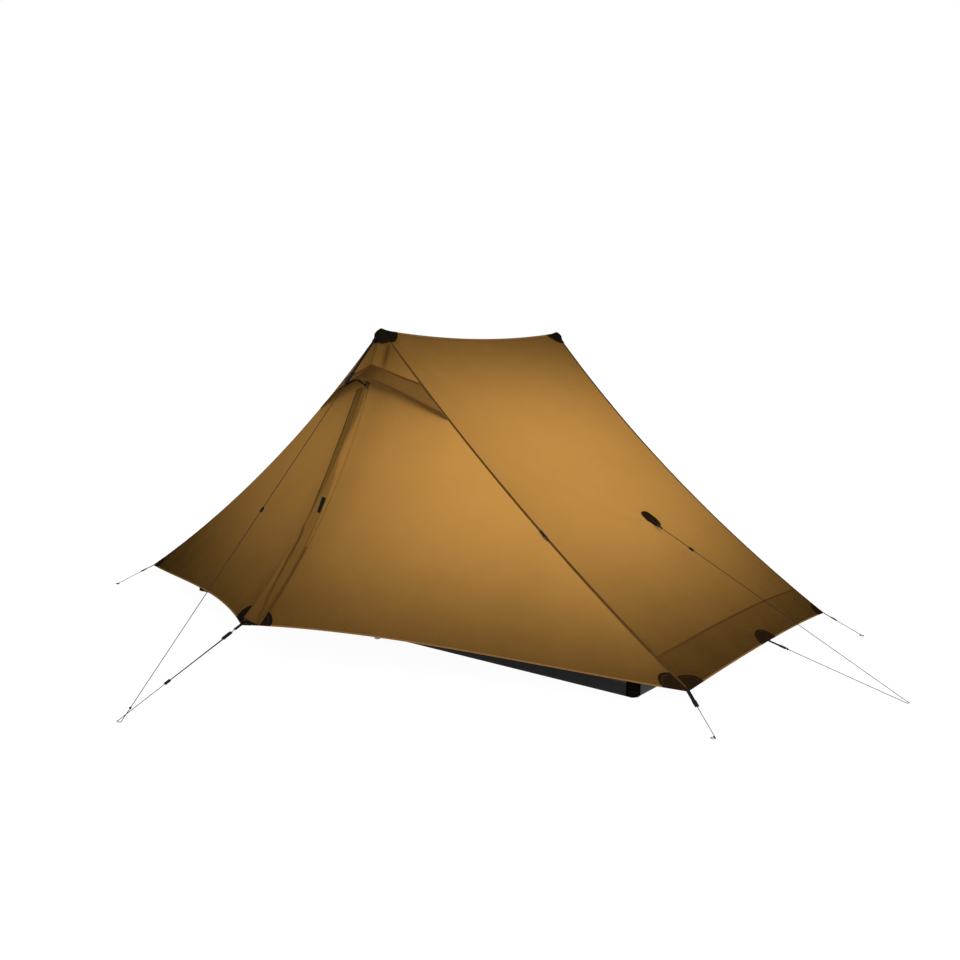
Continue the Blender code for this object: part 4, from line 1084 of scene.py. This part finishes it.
class TENT_OT_trim(bpy.types.Operator):
    """Felled seams, hem bindings, peak caps and the patches at corners, toes and guyline points"""
    bl_idname = "tent.trim"
    bl_label = "Seams, hems and patches"

    def execute(self, context):
        first, last = span(0.0, 0.5 * math.pi, 20), span(0.5 * math.pi, math.pi, 20)
        middle = span(0.0, math.pi, 30)
        share = span(0.001, 0.999, 110)
        hem = leaf(leaf_shares(110, 2, ZIP_HALF_WIDTH)[0][1], 1.0 - HEM_INSET / ZIP_CHORD)
        low = end_folded(share[:, None], CROSS_SEAM + span(-0.003, 0.003, 5)[None, :] / SEAM_LENGTH)
        for prefix, end, half in SIDES:
            felled_seam(end, half)
            peak_cover(prefix, half)
            hem_binding(end + "_end_hem", end_panel(share, 1.0 - HEM_INSET / SEAM_LENGTH), END_NORMAL, half)
            hem_binding(prefix + "_door_hem", hem, LEAF_NORMAL, half, prefix + "_door")
            hem_binding(prefix + "_fixed_hem", hem * MIRROR_X, LEAF_NORMAL * MIRROR_X, half)
            for side, flip, body in (("door", 1.0, prefix + "_door"), ("fixed", MIRROR_X, "tent")):
                add_piece(f"{prefix}_{side}_patches", [patch_on_leaf((1.0, 1.0), CORNER_PATCH, last, flip),
                                                       patch_on_leaf((0.0, 1.0), TOE_PATCH, first, flip, 1)],
                          "trim black_trim", half, body, bends=side == "door", wall=PATCH_WALL, grow=1.0)
            add_piece(end + "_end_patches",
                      [patch_on_end((0.0, 1.0), END_CORNER_PATCH, first),
                       patch_on_end((1.0, 1.0), END_CORNER_PATCH, last),
                       patch_on_end((0.522, END_PULL_DOWN - 0.011), HIGH_TIE_PATCH, full_turn(40), wrap=True),
                       patch_on_end((LOW_TIE_ALONG, 1.0), LOW_TIE_PATCH, middle)],
                      "trim", half, wall=PATCH_WALL, grow=1.0)
            add_piece(end + "_cross_seam", [strip_patch(low, 0.0012, END_NORMAL, crown=0.0006)], "seam", half,
                      wall=0.0008)
        return {"FINISHED"}


# Zips and storm flaps

def zip_half(prefix, half, name, mirror, body):
    """One tape of the zip with its half of the coil, along the zip's line."""
    down = span(DOOR_TOP_MIDDLE + 0.004, 0.985, 180)
    drop = float(panel_drop(ZIP_HALF_WIDTH, down).min())
    inner = 0.5 * ZIP_SPLIT
    x = np.array([inner + 0.0018, inner + 0.0052, ZIP_HALF_WIDTH - 0.001]) * mirror
    base, rise = zip_line(down), zip_normal(down)
    sideways = np.broadcast_to(ALONG_X, base.shape)
    tape = carry(np.stack([x, [0.0004, 0.0004, drop]], -1), base, sideways, rise)
    middle = base + (inner + 0.0013) * mirror * sideways
    coil = carry(ring(0.0026, 2.0 * COIL_RADIUS, 10), middle, sideways, rise)
    add_piece(f"{prefix}_zip_tape_{name}", [patch(tape, DOOR_FACE, strip="columns"),
                                            patch(coil, wrap=True, lids="both", finish=1, strip="columns")],
              "tape teeth", half, body, f"{prefix}_zip_{name}_half", wall=0.0007)


def slider(prefix, half):
    """Slider round the fixed half's coil, and its pull."""
    rise = zip_normal(ZIP_END)
    run = np.cross(ALONG_X, rise)
    run = run if run[2] < 0.0 else -run
    axis = zip_line(ZIP_END) - 0.0028 * ALONG_X
    hanger = axis + 0.0006 * ALONG_X + 0.0027 * rise
    parts = [bar(axis - 0.0078 * run, axis + 0.0078 * run, 0.0049, 0.0049, rise, 9, 4.0),
             bar(hanger - 0.021 * run, hanger + 0.004 * run, 0.0033, 0.0014, rise, 9, 3.5)]
    add_piece(prefix + "_slider", parts, "plastic", half, prefix + "_zip_slider", prefix + "_zip_slider")


def storm_flap(prefix, half, door):
    """Flap over the zip with its pressed fold, its seam and its hook and loop tab."""
    down = span(FLAP_TOP, FLAP_END, 170)
    seam, edge, fold = (column(line) for line in flap_lines(down)[1:])
    share = span(0.0, 1.0, 44)[None, :]
    x = seam + (edge - seam) * share
    points = flap_points(down, x)
    wave = 0.0005 * np.sin(span(0.0, 26.0, 170))[:, None] * share ** 2
    points = points + column(wave) * grid_normals(points, DOOR_FACE)
    size, area = cut_of(points)
    made = add_piece(prefix + "_flap_cloth", [patch(points, DOOR_FACE)], "khaki", half, door,
                     prefix + "_storm_flap", wall=PATCH_WALL, grow=1.0, glow=flap_glow(points, down, x))
    wide = span(0.0, 0.0045, 5)[None, :]
    at = span(0.553, 0.602, 14)
    low, high = (column(line) for line in flap_lines(at)[1:3])
    tab = flap_points(at, low + (high - low) * span(0.20, 0.38, 7)[None, :])
    trims = [strip_patch(flap_points(down, fold + wide), 0.0013, DOOR_FACE, crown=0.0003),
             strip_patch(flap_points(down[SEWN_FROM:], seam[SEWN_FROM:] - wide), 0.0013, DOOR_FACE, crown=0.0003),
             strip_patch(tab, 0.0020, DOOR_FACE, 1)]
    add_piece(prefix + "_flap_trim", trims, "seam web", half, door, wall=0.0007, grow=1.0)


class TENT_OT_zips(bpy.types.Operator):
    """Zip tapes with their coils, sliders, storm flaps and the flap's hook and loop tab"""
    bl_idname = "tent.zips"
    bl_label = "Zips and storm flaps"

    def execute(self, context):
        at = span(0.955, 0.998, 14)
        wide = column(np.minimum(0.030, 2.0 * (1.0 - at) * ZIP_CHORD))
        garage = beside_zip(at, wide * span(-1.0, 1.0, 25)[None, :], -FLAP_BASE)
        for prefix, _, half in SIDES:
            zip_half(prefix, half, "door", 1.0, prefix + "_door")
            zip_half(prefix, half, "fixed", -1.0, "tent")
            slider(prefix, half)
            storm_flap(prefix, half, prefix + "_door")
            add_piece(prefix + "_zip_garage", [patch(garage, DOOR_FACE)], "black_trim", half, wall=PATCH_WALL)
        return {"FINISHED"}


# Tub and netting walls

def rounded_box(half_x, half_y, radius, count):
    """Closed outline of a rectangle with round corners, evenly spaced round it."""
    turn = span(0.0, 0.5 * math.pi, 9)
    arcs = []
    for sx, sy, start in ((1, 1, 0.0), (-1, 1, 0.5), (-1, -1, 1.0), (1, -1, 1.5)):
        angle = turn + start * math.pi
        arcs.append(np.stack([sx * (half_x - radius) + radius * np.cos(angle),
                              sy * (half_y - radius) + radius * np.sin(angle)], -1))
    outline = np.concatenate(arcs + [arcs[0][:1]])
    reach = np.concatenate([[0.0], np.cumsum(np.linalg.norm(np.diff(outline, axis=0), axis=1))])
    at = span(0.0, reach[-1], count + 1)[:-1]
    return np.stack([np.interp(at, reach, outline[:, 0]), np.interp(at, reach, outline[:, 1])], -1)


def tub_shell(rim):
    """Walls that lean in a little between the corners, and the floor with its ripples, as one grid."""
    away = np.hypot(TUB_HALF_LENGTH - abs(rim[:, 0]), TUB_HALF_WIDTH - abs(rim[:, 1]))
    near = np.clip(1.0 - away / 0.5, 0.0, 1.0)
    level = span(1.0, 0.0, 16)[:, None]
    height = TUB_WALL * level - 0.007 * level * (1.0 - near)[None, :] ** 2
    turn = full_turn(len(rim))[None, :]
    pull = 0.004 * bow(level) * (1.0 + 0.6 * np.sin(23.0 * turn) + 0.4 * np.sin(41.0 * turn + 1.0))
    inset = 1.0 - pull * (1.0 - 0.8 * near[None, :])
    walls = np.stack([rim[None, :, 0] * inset, rim[None, :, 1] * inset, height + TUB_CLEAR], -1)
    shrink = span(0.985, 0.02, 34)[:, None]
    ripple = 0.0012 * np.sin(9.0 * rim[None, :, 0] * shrink) * np.sin(13.0 * rim[None, :, 1] * shrink)
    floor = np.stack([rim[None, :, 0] * shrink, rim[None, :, 1] * shrink,
                      TUB_CLEAR + abs(ripple) * (1.0 - shrink ** 8)], -1)
    return walls, floor, height


class TENT_OT_tub(bpy.types.Operator):
    """Tub floor with upright walls, its top binding and its taped corners"""
    bl_idname = "tent.tub"
    bl_label = "Tub floor"

    def execute(self, context):
        count = 300
        rim = rounded_box(TUB_HALF_LENGTH - TUB_CLEAR, TUB_HALF_WIDTH - TUB_CLEAR, 0.014, count)
        walls, floor, height = tub_shell(rim)
        made = add_piece("tub_cloth", [patch(np.concatenate([walls, floor]), -UP, wrap=True, lids="last")], "floor",
                         node="tub_floor", wall=PATCH_WALL)
        top = np.stack([rim[:, 0], rim[:, 1], height[0] - 0.003], -1)
        across = np.cross(closed_run(top), UP)
        patches = [closed_tube(top, across, ring(0.0026, 0.011, 12, 2.6))]
        for sx in (1.0, -1.0):
            for sy in (1.0, -1.0):
                near = (rim[:, 0] * sx > TUB_HALF_LENGTH - 0.055) & (rim[:, 1] * sy > TUB_HALF_WIDTH - 0.055)
                spots = np.nonzero(near)[0]
                if spots[-1] - spots[0] > count // 2:
                    spots = np.concatenate([spots[spots > count // 2], spots[spots <= count // 2]])
                away = np.array([sx, sy, 0.0])
                patches.append(patch(walls[:, spots].transpose(1, 0, 2) + 0.0008 * away, away, strip="columns"))
        add_piece("tub_binding", patches, "black_trim", wall=0.0006, glow=0.0)
        return {"FINISHED"}


def upright(x, low, high, rows):
    """Grid standing in the netting wall's plane between two heights."""
    z = low + (high - low) * span(0.0, 1.0, rows)[:, None]
    return np.stack(np.broadcast_arrays(x[None, :], NET_Y, z), -1)


def net_wall(prefix, half):
    """Netting wall round its door opening, in four parts, with the opening bound all round."""
    free, top, foot, sill = mesh_door_outline()
    reach = TUB_HALF_LENGTH - 0.003
    base = TUB_WALL + TUB_CLEAR
    outward = np.array([0.0, -1.0, 0.0])

    def slant(x):
        return top + (sill - top) * (x - free) / (foot - free)

    def binding(start, end, width=0.008, rows=7):
        return bar(np.array([start[0], NET_Y, start[1]]), [end[0], NET_Y, end[1]], width, 0.0020, outward, rows)

    left, right, far = span(-reach, free, 60), span(free, foot, 50), span(foot, reach, 14)
    parts = [upright(left, base, wall_edge(left), 40), upright(right, base, sill + 0.0 * right, 5),
             upright(right, slant(right), wall_edge(right), 12), upright(far, base, wall_edge(far), 12)]
    made = add_piece(prefix + "_wall_netting", [patch(p, outward) for p in parts], "net", half,
                     node=prefix + "_mesh_wall")
    sum(cut_of(p)[1] for p in parts)
    edge = np.array([[x, NET_Y, float(wall_edge(x)) - 0.004] for x in span(-reach, reach, 80)])
    bars = [binding((free - 0.004, top), (free - 0.004, sill - 0.004)),
            binding((free - 0.004, sill - 0.004), (foot, sill - 0.004)),
            tube_patch(edge, 0.009, 0.0018, outward, power=3.0),
            binding((-reach, base + 0.004), (reach, base + 0.004), 0.009, 60)]
    add_piece(prefix + "_wall_binding", bars, "web", half)
    x = span(free + 0.0015, foot - 0.006, 46)
    points = upright(x, sill + 0.001, slant(x) - 0.003, 36)
    door = add_piece(prefix + "_door_netting", [patch(points, outward)], "net", half, prefix + "_mesh_door",
                     prefix + "_mesh_door")
    size, area = cut_of(points)
    low = np.array([free + 0.006, NET_Y, sill + 0.006])
    rails = [tube_patch(np.stack([x, np.full_like(x, NET_Y), slant(x) - 0.006], -1), 0.006, 0.0018, outward,
                        power=3.0),
             bar(low, [foot - 0.03, NET_Y, sill + 0.006], 0.006, 0.0018, outward),
             bar(low, [free + 0.006, NET_Y, top - 0.02], 0.006, 0.0018, outward)]
    add_piece(prefix + "_door_rails", rails, "web", half, prefix + "_mesh_door")


def net_strip(end, half):
    """Netting between the end panel and the tub's end wall."""
    y = span(-TUB_HALF_WIDTH + 0.004, TUB_HALF_WIDTH - 0.004, 70)
    high = end_panel(0.5 + y / END_WIDTH, np.full_like(y, END_SEAM_DOWN)) - 0.0028 * END_NORMAL
    low = np.stack([np.full_like(y, TUB_HALF_LENGTH + 0.0008), y, np.full_like(y, TUB_WALL - 0.004)], -1)
    share = span(0.0, 1.0, 10)[:, None, None]
    add_cloth(end + "_strip_netting", (1.0 - share) * high + share * low, np.array([1.0, 0.0, -0.2]), "net",
              end + "_mesh_strip", half)


class TENT_OT_netting(bpy.types.Operator):
    """Netting walls with their doors and bindings, and the netting strips at both ends"""
    bl_idname = "tent.netting"
    bl_label = "Netting"

    def execute(self, context):
        for prefix, end, half in SIDES:
            net_wall(prefix, half)
            net_strip(end, half)
        return {"FINISHED"}


# Poles

class TENT_OT_poles(bpy.types.Operator):
    """Finishes of both trekking poles, and their wrist straps"""
    bl_idname = "tent.poles"
    bl_label = "Trekking poles"

    def execute(self, context):
        use = {"foam": "grip", "alloy": "upper_shaft middle_shaft lower_shaft",
               "plastic": "upper_clamp lower_clamp upper_lever lower_lever"}
        turn = full_turn(60)
        top = np.array([0.0, -POLE_Y + 0.036, GRIP_TOP - 0.095])
        path = top + np.stack([0.0 * turn, -0.024 * np.cos(turn) - 0.004 * np.cos(2.0 * turn),
                               0.078 * np.sin(turn)], -1)
        strap = closed_tube(path, np.broadcast_to(ALONG_X, path.shape), ring(0.018, 0.0022, 14, 3.0))
        for prefix, _, half in SIDES:
            for finish, pieces in use.items():
                for part in pieces.split():
                    refinish(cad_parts[f"{prefix}_pole_{part}"], finish)
            add_piece(prefix + "_wrist_strap", [strap], "web", half)
        return {"FINISHED"}


# Cords and their fittings

def lock_patches(tie, run, up, start, end, width=0.017, thick=0.0055):
    """Line lock: a flat moulded block along the line with three grip ribs across its face."""
    side = unit(np.cross(run, up))
    face = np.cross(side, run)
    made = [bar(tie + start * run, tie + end * run, width, thick, face, 9, 3.4)]
    for share in (0.25, 0.5, 0.75):
        middle = tie + (start + share * (end - start)) * run + 0.5 * thick * face
        made.append(bar(middle - 0.4 * width * side, middle + 0.4 * width * side, 0.0022, 0.0022, face, 5, 2.0,
                        count=8))
    return made


def keeper(place, run, up):
    """Small tensioner of a line."""
    return bar(place - 0.011 * run, place + 0.011 * run, 0.011, 0.008, up)


def knot_patch(centre, run, size=0.0032, thick=0.0022):
    """Tied knot: a tube along a trefoil, (2 + cos 3t) round one axis and sin 3t along it."""
    run = unit(run)
    side = unit(np.cross(run, [0.31, 0.52, 0.79]))
    rise = np.cross(side, run)
    turn = span(0.0, 4.0 * math.pi, 73)[:-1]
    reach = (2.0 + np.cos(1.5 * turn)) / 3.0 * size
    path = (centre + column(reach * np.cos(turn)) * side + column(reach * np.sin(turn)) * rise
            + column(0.9 * size * np.sin(1.5 * turn)) * run)
    forward = closed_run(path)
    return closed_tube(path, unit(np.cross(forward, run + 0.0 * forward)), ring(thick, thick, 7))


def add_line(name, path, half, node=""):
    """Braided cord along its route, a tube."""
    run = unit(np.gradient(path, axis=0))
    side = unit(np.cross(run, np.where(abs(run[:, 2:]) > 0.9, ALONG_X, UP)))
    tube = patch(carry(ring(2.0 * CORD_RADIUS, 2.0 * CORD_RADIUS, 8), path, side, np.cross(side, run)), wrap=True,
                 lids="both", strip="columns")
    made = add_piece(name, [tube], "cord", half, node=node)


def pair_route(upper, lower, stake):
    """From the upper tie, round the stake's place on the ground, back to the lower tie."""
    loop = stake_turn(stake, stake - upper, 180.0)
    return np.concatenate([straight(upper, loop[0], 40), loop[1:-1], straight(loop[-1], lower, 30)]), loop


def door_lines(prefix, half):
    """Guyline from the peak to the ground and back to the toe, with its tabs, locks and knots."""
    route, loop = pair_route(PEAK_TIE, TOE_TIE, DOOR_STAKE)
    add_line(prefix + "_door_line", route, half, prefix + "_guylines")
    run, toe_run = unit(loop[0] - PEAK_TIE), unit(loop[-1] - TOE_TIE)
    face = np.array([0.0, -1.0, 1.0])
    second = TOE_TIE + 0.335 * toe_run
    beside = 0.0045 * ALONG_X
    tabs = [bar(PEAK_TIE + 0.004 * run, PEAK_TIE + 0.212 * run, 0.012, 0.0034, face, 14),
            bar(TOE_TIE - 0.010 * toe_run, TOE_TIE + 0.024 * toe_run, 0.014, 0.0036, UP, 8)]
    add_piece(prefix + "_door_line_tabs", tabs, "web", half)
    fittings = [*lock_patches(PEAK_TIE, run, face, 0.206, 0.268, 0.0165, 0.0062),
                *lock_patches(TOE_TIE, toe_run, UP, 0.042, 0.082, 0.015, 0.0075), keeper(second, toe_run, UP)]
    add_piece(prefix + "_door_line_fittings", fittings, "plastic", half)
    doubled = straight(TOE_TIE + 0.078 * toe_run + beside, second + 0.4 * beside, 20)
    add_line(prefix + "_toe_doubling", doubled, half)
    knots = [knot_patch(loop[0] - 0.05 * run, run), knot_patch(PEAK_TIE + 0.274 * run, run)]
    add_piece(prefix + "_door_line_knots", knots, "cord", half)


def end_lines(end, half):
    """High and low guylines of an end panel, with their tabs, buckles and tensioner."""
    route, loop = pair_route(HIGH_TIE, LOW_TIE, END_STAKE)
    add_line(end + "_end_line", route, half, end + "_end_guylines")
    run, low_run = unit(loop[0] - HIGH_TIE), unit(loop[-1] - LOW_TIE)
    fittings = [keeper(HIGH_TIE + 0.195 * run, run, END_NORMAL),
                *lock_patches(LOW_TIE, low_run, UP, 0.036, 0.062),
                *lock_patches(HIGH_TIE, run, END_NORMAL, 0.024, 0.040, 0.014, 0.005)]
    add_piece(end + "_end_line_fittings", fittings, "plastic", half)
    tabs = [bar(HIGH_TIE - 0.004 * run, HIGH_TIE + 0.030 * run, 0.014, 0.0036, END_NORMAL, 8),
            bar(LOW_TIE - 0.008 * low_run, LOW_TIE + 0.042 * low_run, 0.014, 0.0036, UP, 8)]
    add_piece(end + "_end_line_tabs", tabs, "web", half)
    knots = [knot_patch(HIGH_TIE + 0.046 * run, run), knot_patch(LOW_TIE + 0.068 * low_run, low_run)]
    add_piece(end + "_end_line_knots", knots, "cord", half)


def corner_line(name, half, flip):
    """Corner cord that ends in a tied loop over the stake's place, with webbing and buckle."""
    tie, stake = CORNER * flip, CORNER_STAKE * flip
    loop = stake_turn(stake, stake - tie, LOOP_ANGLE)
    run, back = unit(loop[0] - tie), unit(loop[-1] - loop[-2])
    tied = knot_patch(loop[-1] + 0.001 * back, back, 0.0026, 0.0020)
    knot = add_piece(name + "_knot", [tied], "cord", half)
    route = np.concatenate([straight(tie, loop[0], 24), loop[1:]])
    add_line(name + "_cord", route, half, name + "_line")
    add_piece(name + "_tab", [bar(tie - 0.012 * run, tie + 0.048 * run, 0.015, 0.0036, UP, 8)], "web", half)
    add_piece(name + "_lock", lock_patches(tie, run, UP, 0.040, 0.066), "plastic", half)


class TENT_OT_cords(bpy.types.Operator):
    """Guylines with their knots, line tensioners, webbing tabs and ladder buckles"""
    bl_idname = "tent.cords"
    bl_label = "Guylines and fittings"

    def execute(self, context):
        for prefix, end, half in SIDES:
            door_lines(prefix, half)
            end_lines(end, half)
            corner_line(prefix + "_right_corner", half, 1.0)
            corner_line(prefix + "_left_corner", half, MIRROR_X)
            refinish(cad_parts[prefix + "_peak_tensioner"], "plastic")
        return {"FINISHED"}


class TENT_OT_toggles(bpy.types.Operator):
    """Roll-up loops and toggles at the seams, which hold an opened door"""
    bl_idname = "tent.toggles"
    bl_label = "Roll-up toggles"

    def execute(self, context):
        place = seam_line(TOGGLE_DOWN)
        out = unit(LEAF_NORMAL + END_NORMAL)
        run = unit(seam_line(0.60) - seam_line(0.56))
        middle = place + 0.0075 * out
        bead = tube_patch(middle + column(span(-0.015, 0.015, 11)) * run, 0.0075, 0.0075, out)
        turn = full_turn(40)
        hang = place + 0.004 * out + column(0.016 * (1.0 - np.cos(turn))) * run \
            + column(0.006 * np.sin(turn)) * unit(LEAF_NORMAL - END_NORMAL)
        loop = closed_tube(hang, unit(np.cross(closed_run(hang), out)), ring(0.002, 0.002, 8), 1)
        for prefix, _, half in SIDES:
            add_piece(prefix + "_toggle", [bead, loop], "plastic web", half)
        return {"FINISHED"}


# Stage

def placed_at(axes, place):
    """Matrix of an object from its three axes and its place."""
    whole = np.eye(4)
    whole[:3, :3] = np.stack(axes, -1)
    whole[:3, 3] = place
    return Matrix(whole.tolist())


class TENT_OT_stage(bpy.types.Operator):
    """Camera at the photograph's angle, pale floor, and soft studio light"""
    bl_idname = "tent.stage"
    bl_label = "Camera, floor and light"

    def execute(self, context):
        scene = context.scene
        props = scene.tent_stage
        scene.view_settings.view_transform = "Standard"
        self.camera(scene, props)
        self.floor(scene, props)
        self.world(scene, props)
        for name, place, size, power, colour in (
                ("key_light", (4.6, -2.2, 2.6), 3.2, props.key, (1.0, 0.985, 0.96)),
                ("fill_light", (1.6, -5.2, 3.0), 3.5, props.fill, (0.97, 0.985, 1.0)),
                ("top_light", (0.0, 0.5, 5.2), 4.0, props.top, WHITE)):
            lamp = bpy.data.lights.new(name, "AREA")
            lamp.energy = power
            lamp.size = size
            lamp.color = colour
            made = bpy.data.objects.new(name, lamp)
            aim = unit(np.array(place) - LIGHT_AIM)
            side = unit(np.cross(UP, aim) if abs(aim[2]) < 0.99 else ALONG_X)
            made.matrix_world = placed_at([side, np.cross(aim, side), aim], place)
            scene.collection.objects.link(made)
        return {"FINISHED"}

    def camera(self, scene, props):
        """Camera on its ray from the tent's middle, turned and rolled as in the photograph."""
        turn, rise, roll = (math.radians(v) for v in (props.azimuth, props.elevation, props.roll))
        back = np.array([math.sin(turn) * math.cos(rise), -math.cos(turn) * math.cos(rise), math.sin(rise)])
        right = unit(np.cross(-back, UP))
        up = np.cross(right, -back)
        lens = bpy.data.cameras.new("photo_camera")
        lens.sensor_width = SENSOR
        lens.lens = SENSOR * props.focal / PICTURE
        camera = bpy.data.objects.new("photo_camera", lens)
        camera.matrix_world = placed_at([math.cos(roll) * right + math.sin(roll) * up,
                                         math.cos(roll) * up - math.sin(roll) * right, back],
                                        CAMERA_AIM + props.distance * back)
        scene.collection.objects.link(camera)
        scene.camera = camera

    def floor(self, scene, props):
        """Pale floor: seen by the camera it is nearly white, and it keeps a soft shadow."""
        reach = span(-STUDIO_REACH, STUDIO_REACH, 3)
        part = patch(np.stack(np.broadcast_arrays(reach[None, :], reach[:, None], STUDIO_LEVEL), -1), UP)
        mesh = bpy.data.meshes.new("studio_floor")
        mesh.from_pydata(part["points"].tolist(), [], part["faces"])
        made = bpy.data.objects.new("studio_floor", mesh)
        finish = Finish("studio_floor", (0.82, 0.82, 0.82), 0.9)
        tone = finish.noise(finish.spot(), 0.6, 2.0)
        finish.surface(Base_Color=finish.mix(tone, (0.80, 0.80, 0.80), (0.84, 0.84, 0.84)))
        white = finish.add("ShaderNodeEmission", Color=WHITE, Strength=1.12)
        both = finish.add("ShaderNodeMixShader", s0=finish.rays() * props.floor_white,
                          s1=Number(finish, finish.shader.outputs[0]), s2=white)
        finish.set(finish.tree.nodes["Material Output"], 0, both)
        mesh.materials.append(finish.material)
        scene.collection.objects.link(made)

    def world(self, scene, props):
        """White to the camera and to gloss, and an even dimmer light on the tent."""
        scene.world = bpy.data.worlds.new("studio_world")
        made = Tree(scene.world)
        ground = made.tree.nodes["Background"]
        made.set(ground, "Color", WHITE)
        made.set(ground, "Strength", made.add("ShaderNodeMapRange", s0=made.rays(), s3=props.sky, s4=1.0))


# Settings and panel

def colour_setting(name, description, default):
    return FloatVectorProperty(name=name, description=description, default=default, size=3, min=0.0, max=1.0,
                               subtype="COLOR")


class TentColours(bpy.types.PropertyGroup):
    # The cloth's lit and shaded colours, mixed by the painted light and shade of each piece
    cloth_painted_light: colour_setting("Cloth, painted light", "Cloth in the middle of a panel", (0.49, 0.243, 0.056))
    cloth_painted_shade: colour_setting("Cloth, painted shade", "Cloth by the hems and peaks", (0.018, 0.0080, 0.0010))
    trim_colour: colour_setting("Patches", "Sewn patches", (0.012, 0.0062, 0.0026))
    seam_colour: colour_setting("Seams", "Felled seams of the panels", (0.058, 0.027, 0.0075))
    hem_colour: colour_setting("Hems", "Hem bindings and the seam along the ridge", (0.14, 0.070, 0.021))
    net_colour: colour_setting("Netting", "Insect netting", (0.018, 0.018, 0.018))
    floor_colour: colour_setting("Floor cloth", "Upright walls of the tub", (0.040, 0.041, 0.044))
    cord_colour: colour_setting("Cord", "Braided guylines", (0.024, 0.015, 0.009))
    foam_colour: colour_setting("Grip foam", "Pole grips", (0.022, 0.022, 0.022))
    pole_colour: colour_setting("Pole", "Anodised pole tube", (0.22, 0.225, 0.24))


class TentCloth(bpy.types.PropertyGroup):
    fold_height: FloatProperty(name="Fold height", description="Height of the cloth's tension folds",
                               default=0.002, min=0.0, max=0.01, precision=4, unit="LENGTH")


class TentStage(bpy.types.PropertyGroup):
    azimuth: FloatProperty(name="Azimuth", description="Camera's turn round the tent, degrees", default=35.655)
    elevation: FloatProperty(name="Elevation", description="Camera's height angle, degrees", default=8.102)
    roll: FloatProperty(name="Roll", description="Camera's roll, degrees", default=1.703)
    distance: FloatProperty(name="Distance", description="Camera's distance", default=4.9, unit="LENGTH")
    focal: FloatProperty(name="Focal length", description="In pixels of a 960 pixel picture", default=1098.4)
    key: FloatProperty(name="Key light", description="Large light from the foot end", default=110.0, unit="POWER")
    fill: FloatProperty(name="Fill light", description="Large light from the door side", default=100.0, unit="POWER")
    top: FloatProperty(name="Top light", description="Large light from above", default=34.0, unit="POWER")
    sky: FloatProperty(name="Sky", description="Even light from all round", default=0.62, min=0.0, max=2.0)
    floor_white: FloatProperty(name="Floor white", description="Share of plain white in the seen floor",
                               default=0.86, min=0.0, max=1.0, subtype="FACTOR")


STEPS = ("stage", "cords", "fly", "trim", "zips", "tub", "netting", "poles", "toggles")


class TENT_PT_panel(bpy.types.Panel):
    """Shows the tent's settings and a button for each step in the sidebar"""
    bl_idname = "TENT_PT_panel"
    bl_label = "Trekking pole tent"
    bl_space_type = "VIEW_3D"
    bl_region_type = "UI"
    bl_category = "Tent"

    def draw(self, context):
        for group in (context.scene.tent_colours, context.scene.tent_cloth, context.scene.tent_stage):
            for name in group.__annotations__:
                self.layout.prop(group, name)
        for step in STEPS:
            self.layout.operator("tent." + step)


CLASSES = (TentColours, TentCloth, TentStage, TENT_OT_stage, TENT_OT_cords, TENT_OT_fly, TENT_OT_trim,
           TENT_OT_zips, TENT_OT_tub, TENT_OT_netting, TENT_OT_poles, TENT_OT_toggles, TENT_PT_panel)


def register():
    for kind in CLASSES:
        bpy.utils.register_class(kind)
    bpy.types.Scene.tent_colours = PointerProperty(type=TentColours)
    bpy.types.Scene.tent_cloth = PointerProperty(type=TentCloth)
    bpy.types.Scene.tent_stage = PointerProperty(type=TentStage)


def unregister():
    del bpy.types.Scene.tent_colours, bpy.types.Scene.tent_cloth, bpy.types.Scene.tent_stage
    for kind in reversed(CLASSES):
        bpy.utils.unregister_class(kind)


def main():
    register()
    for step in STEPS:
        getattr(bpy.ops.tent, step)()


if __name__ == "__main__":
    main()
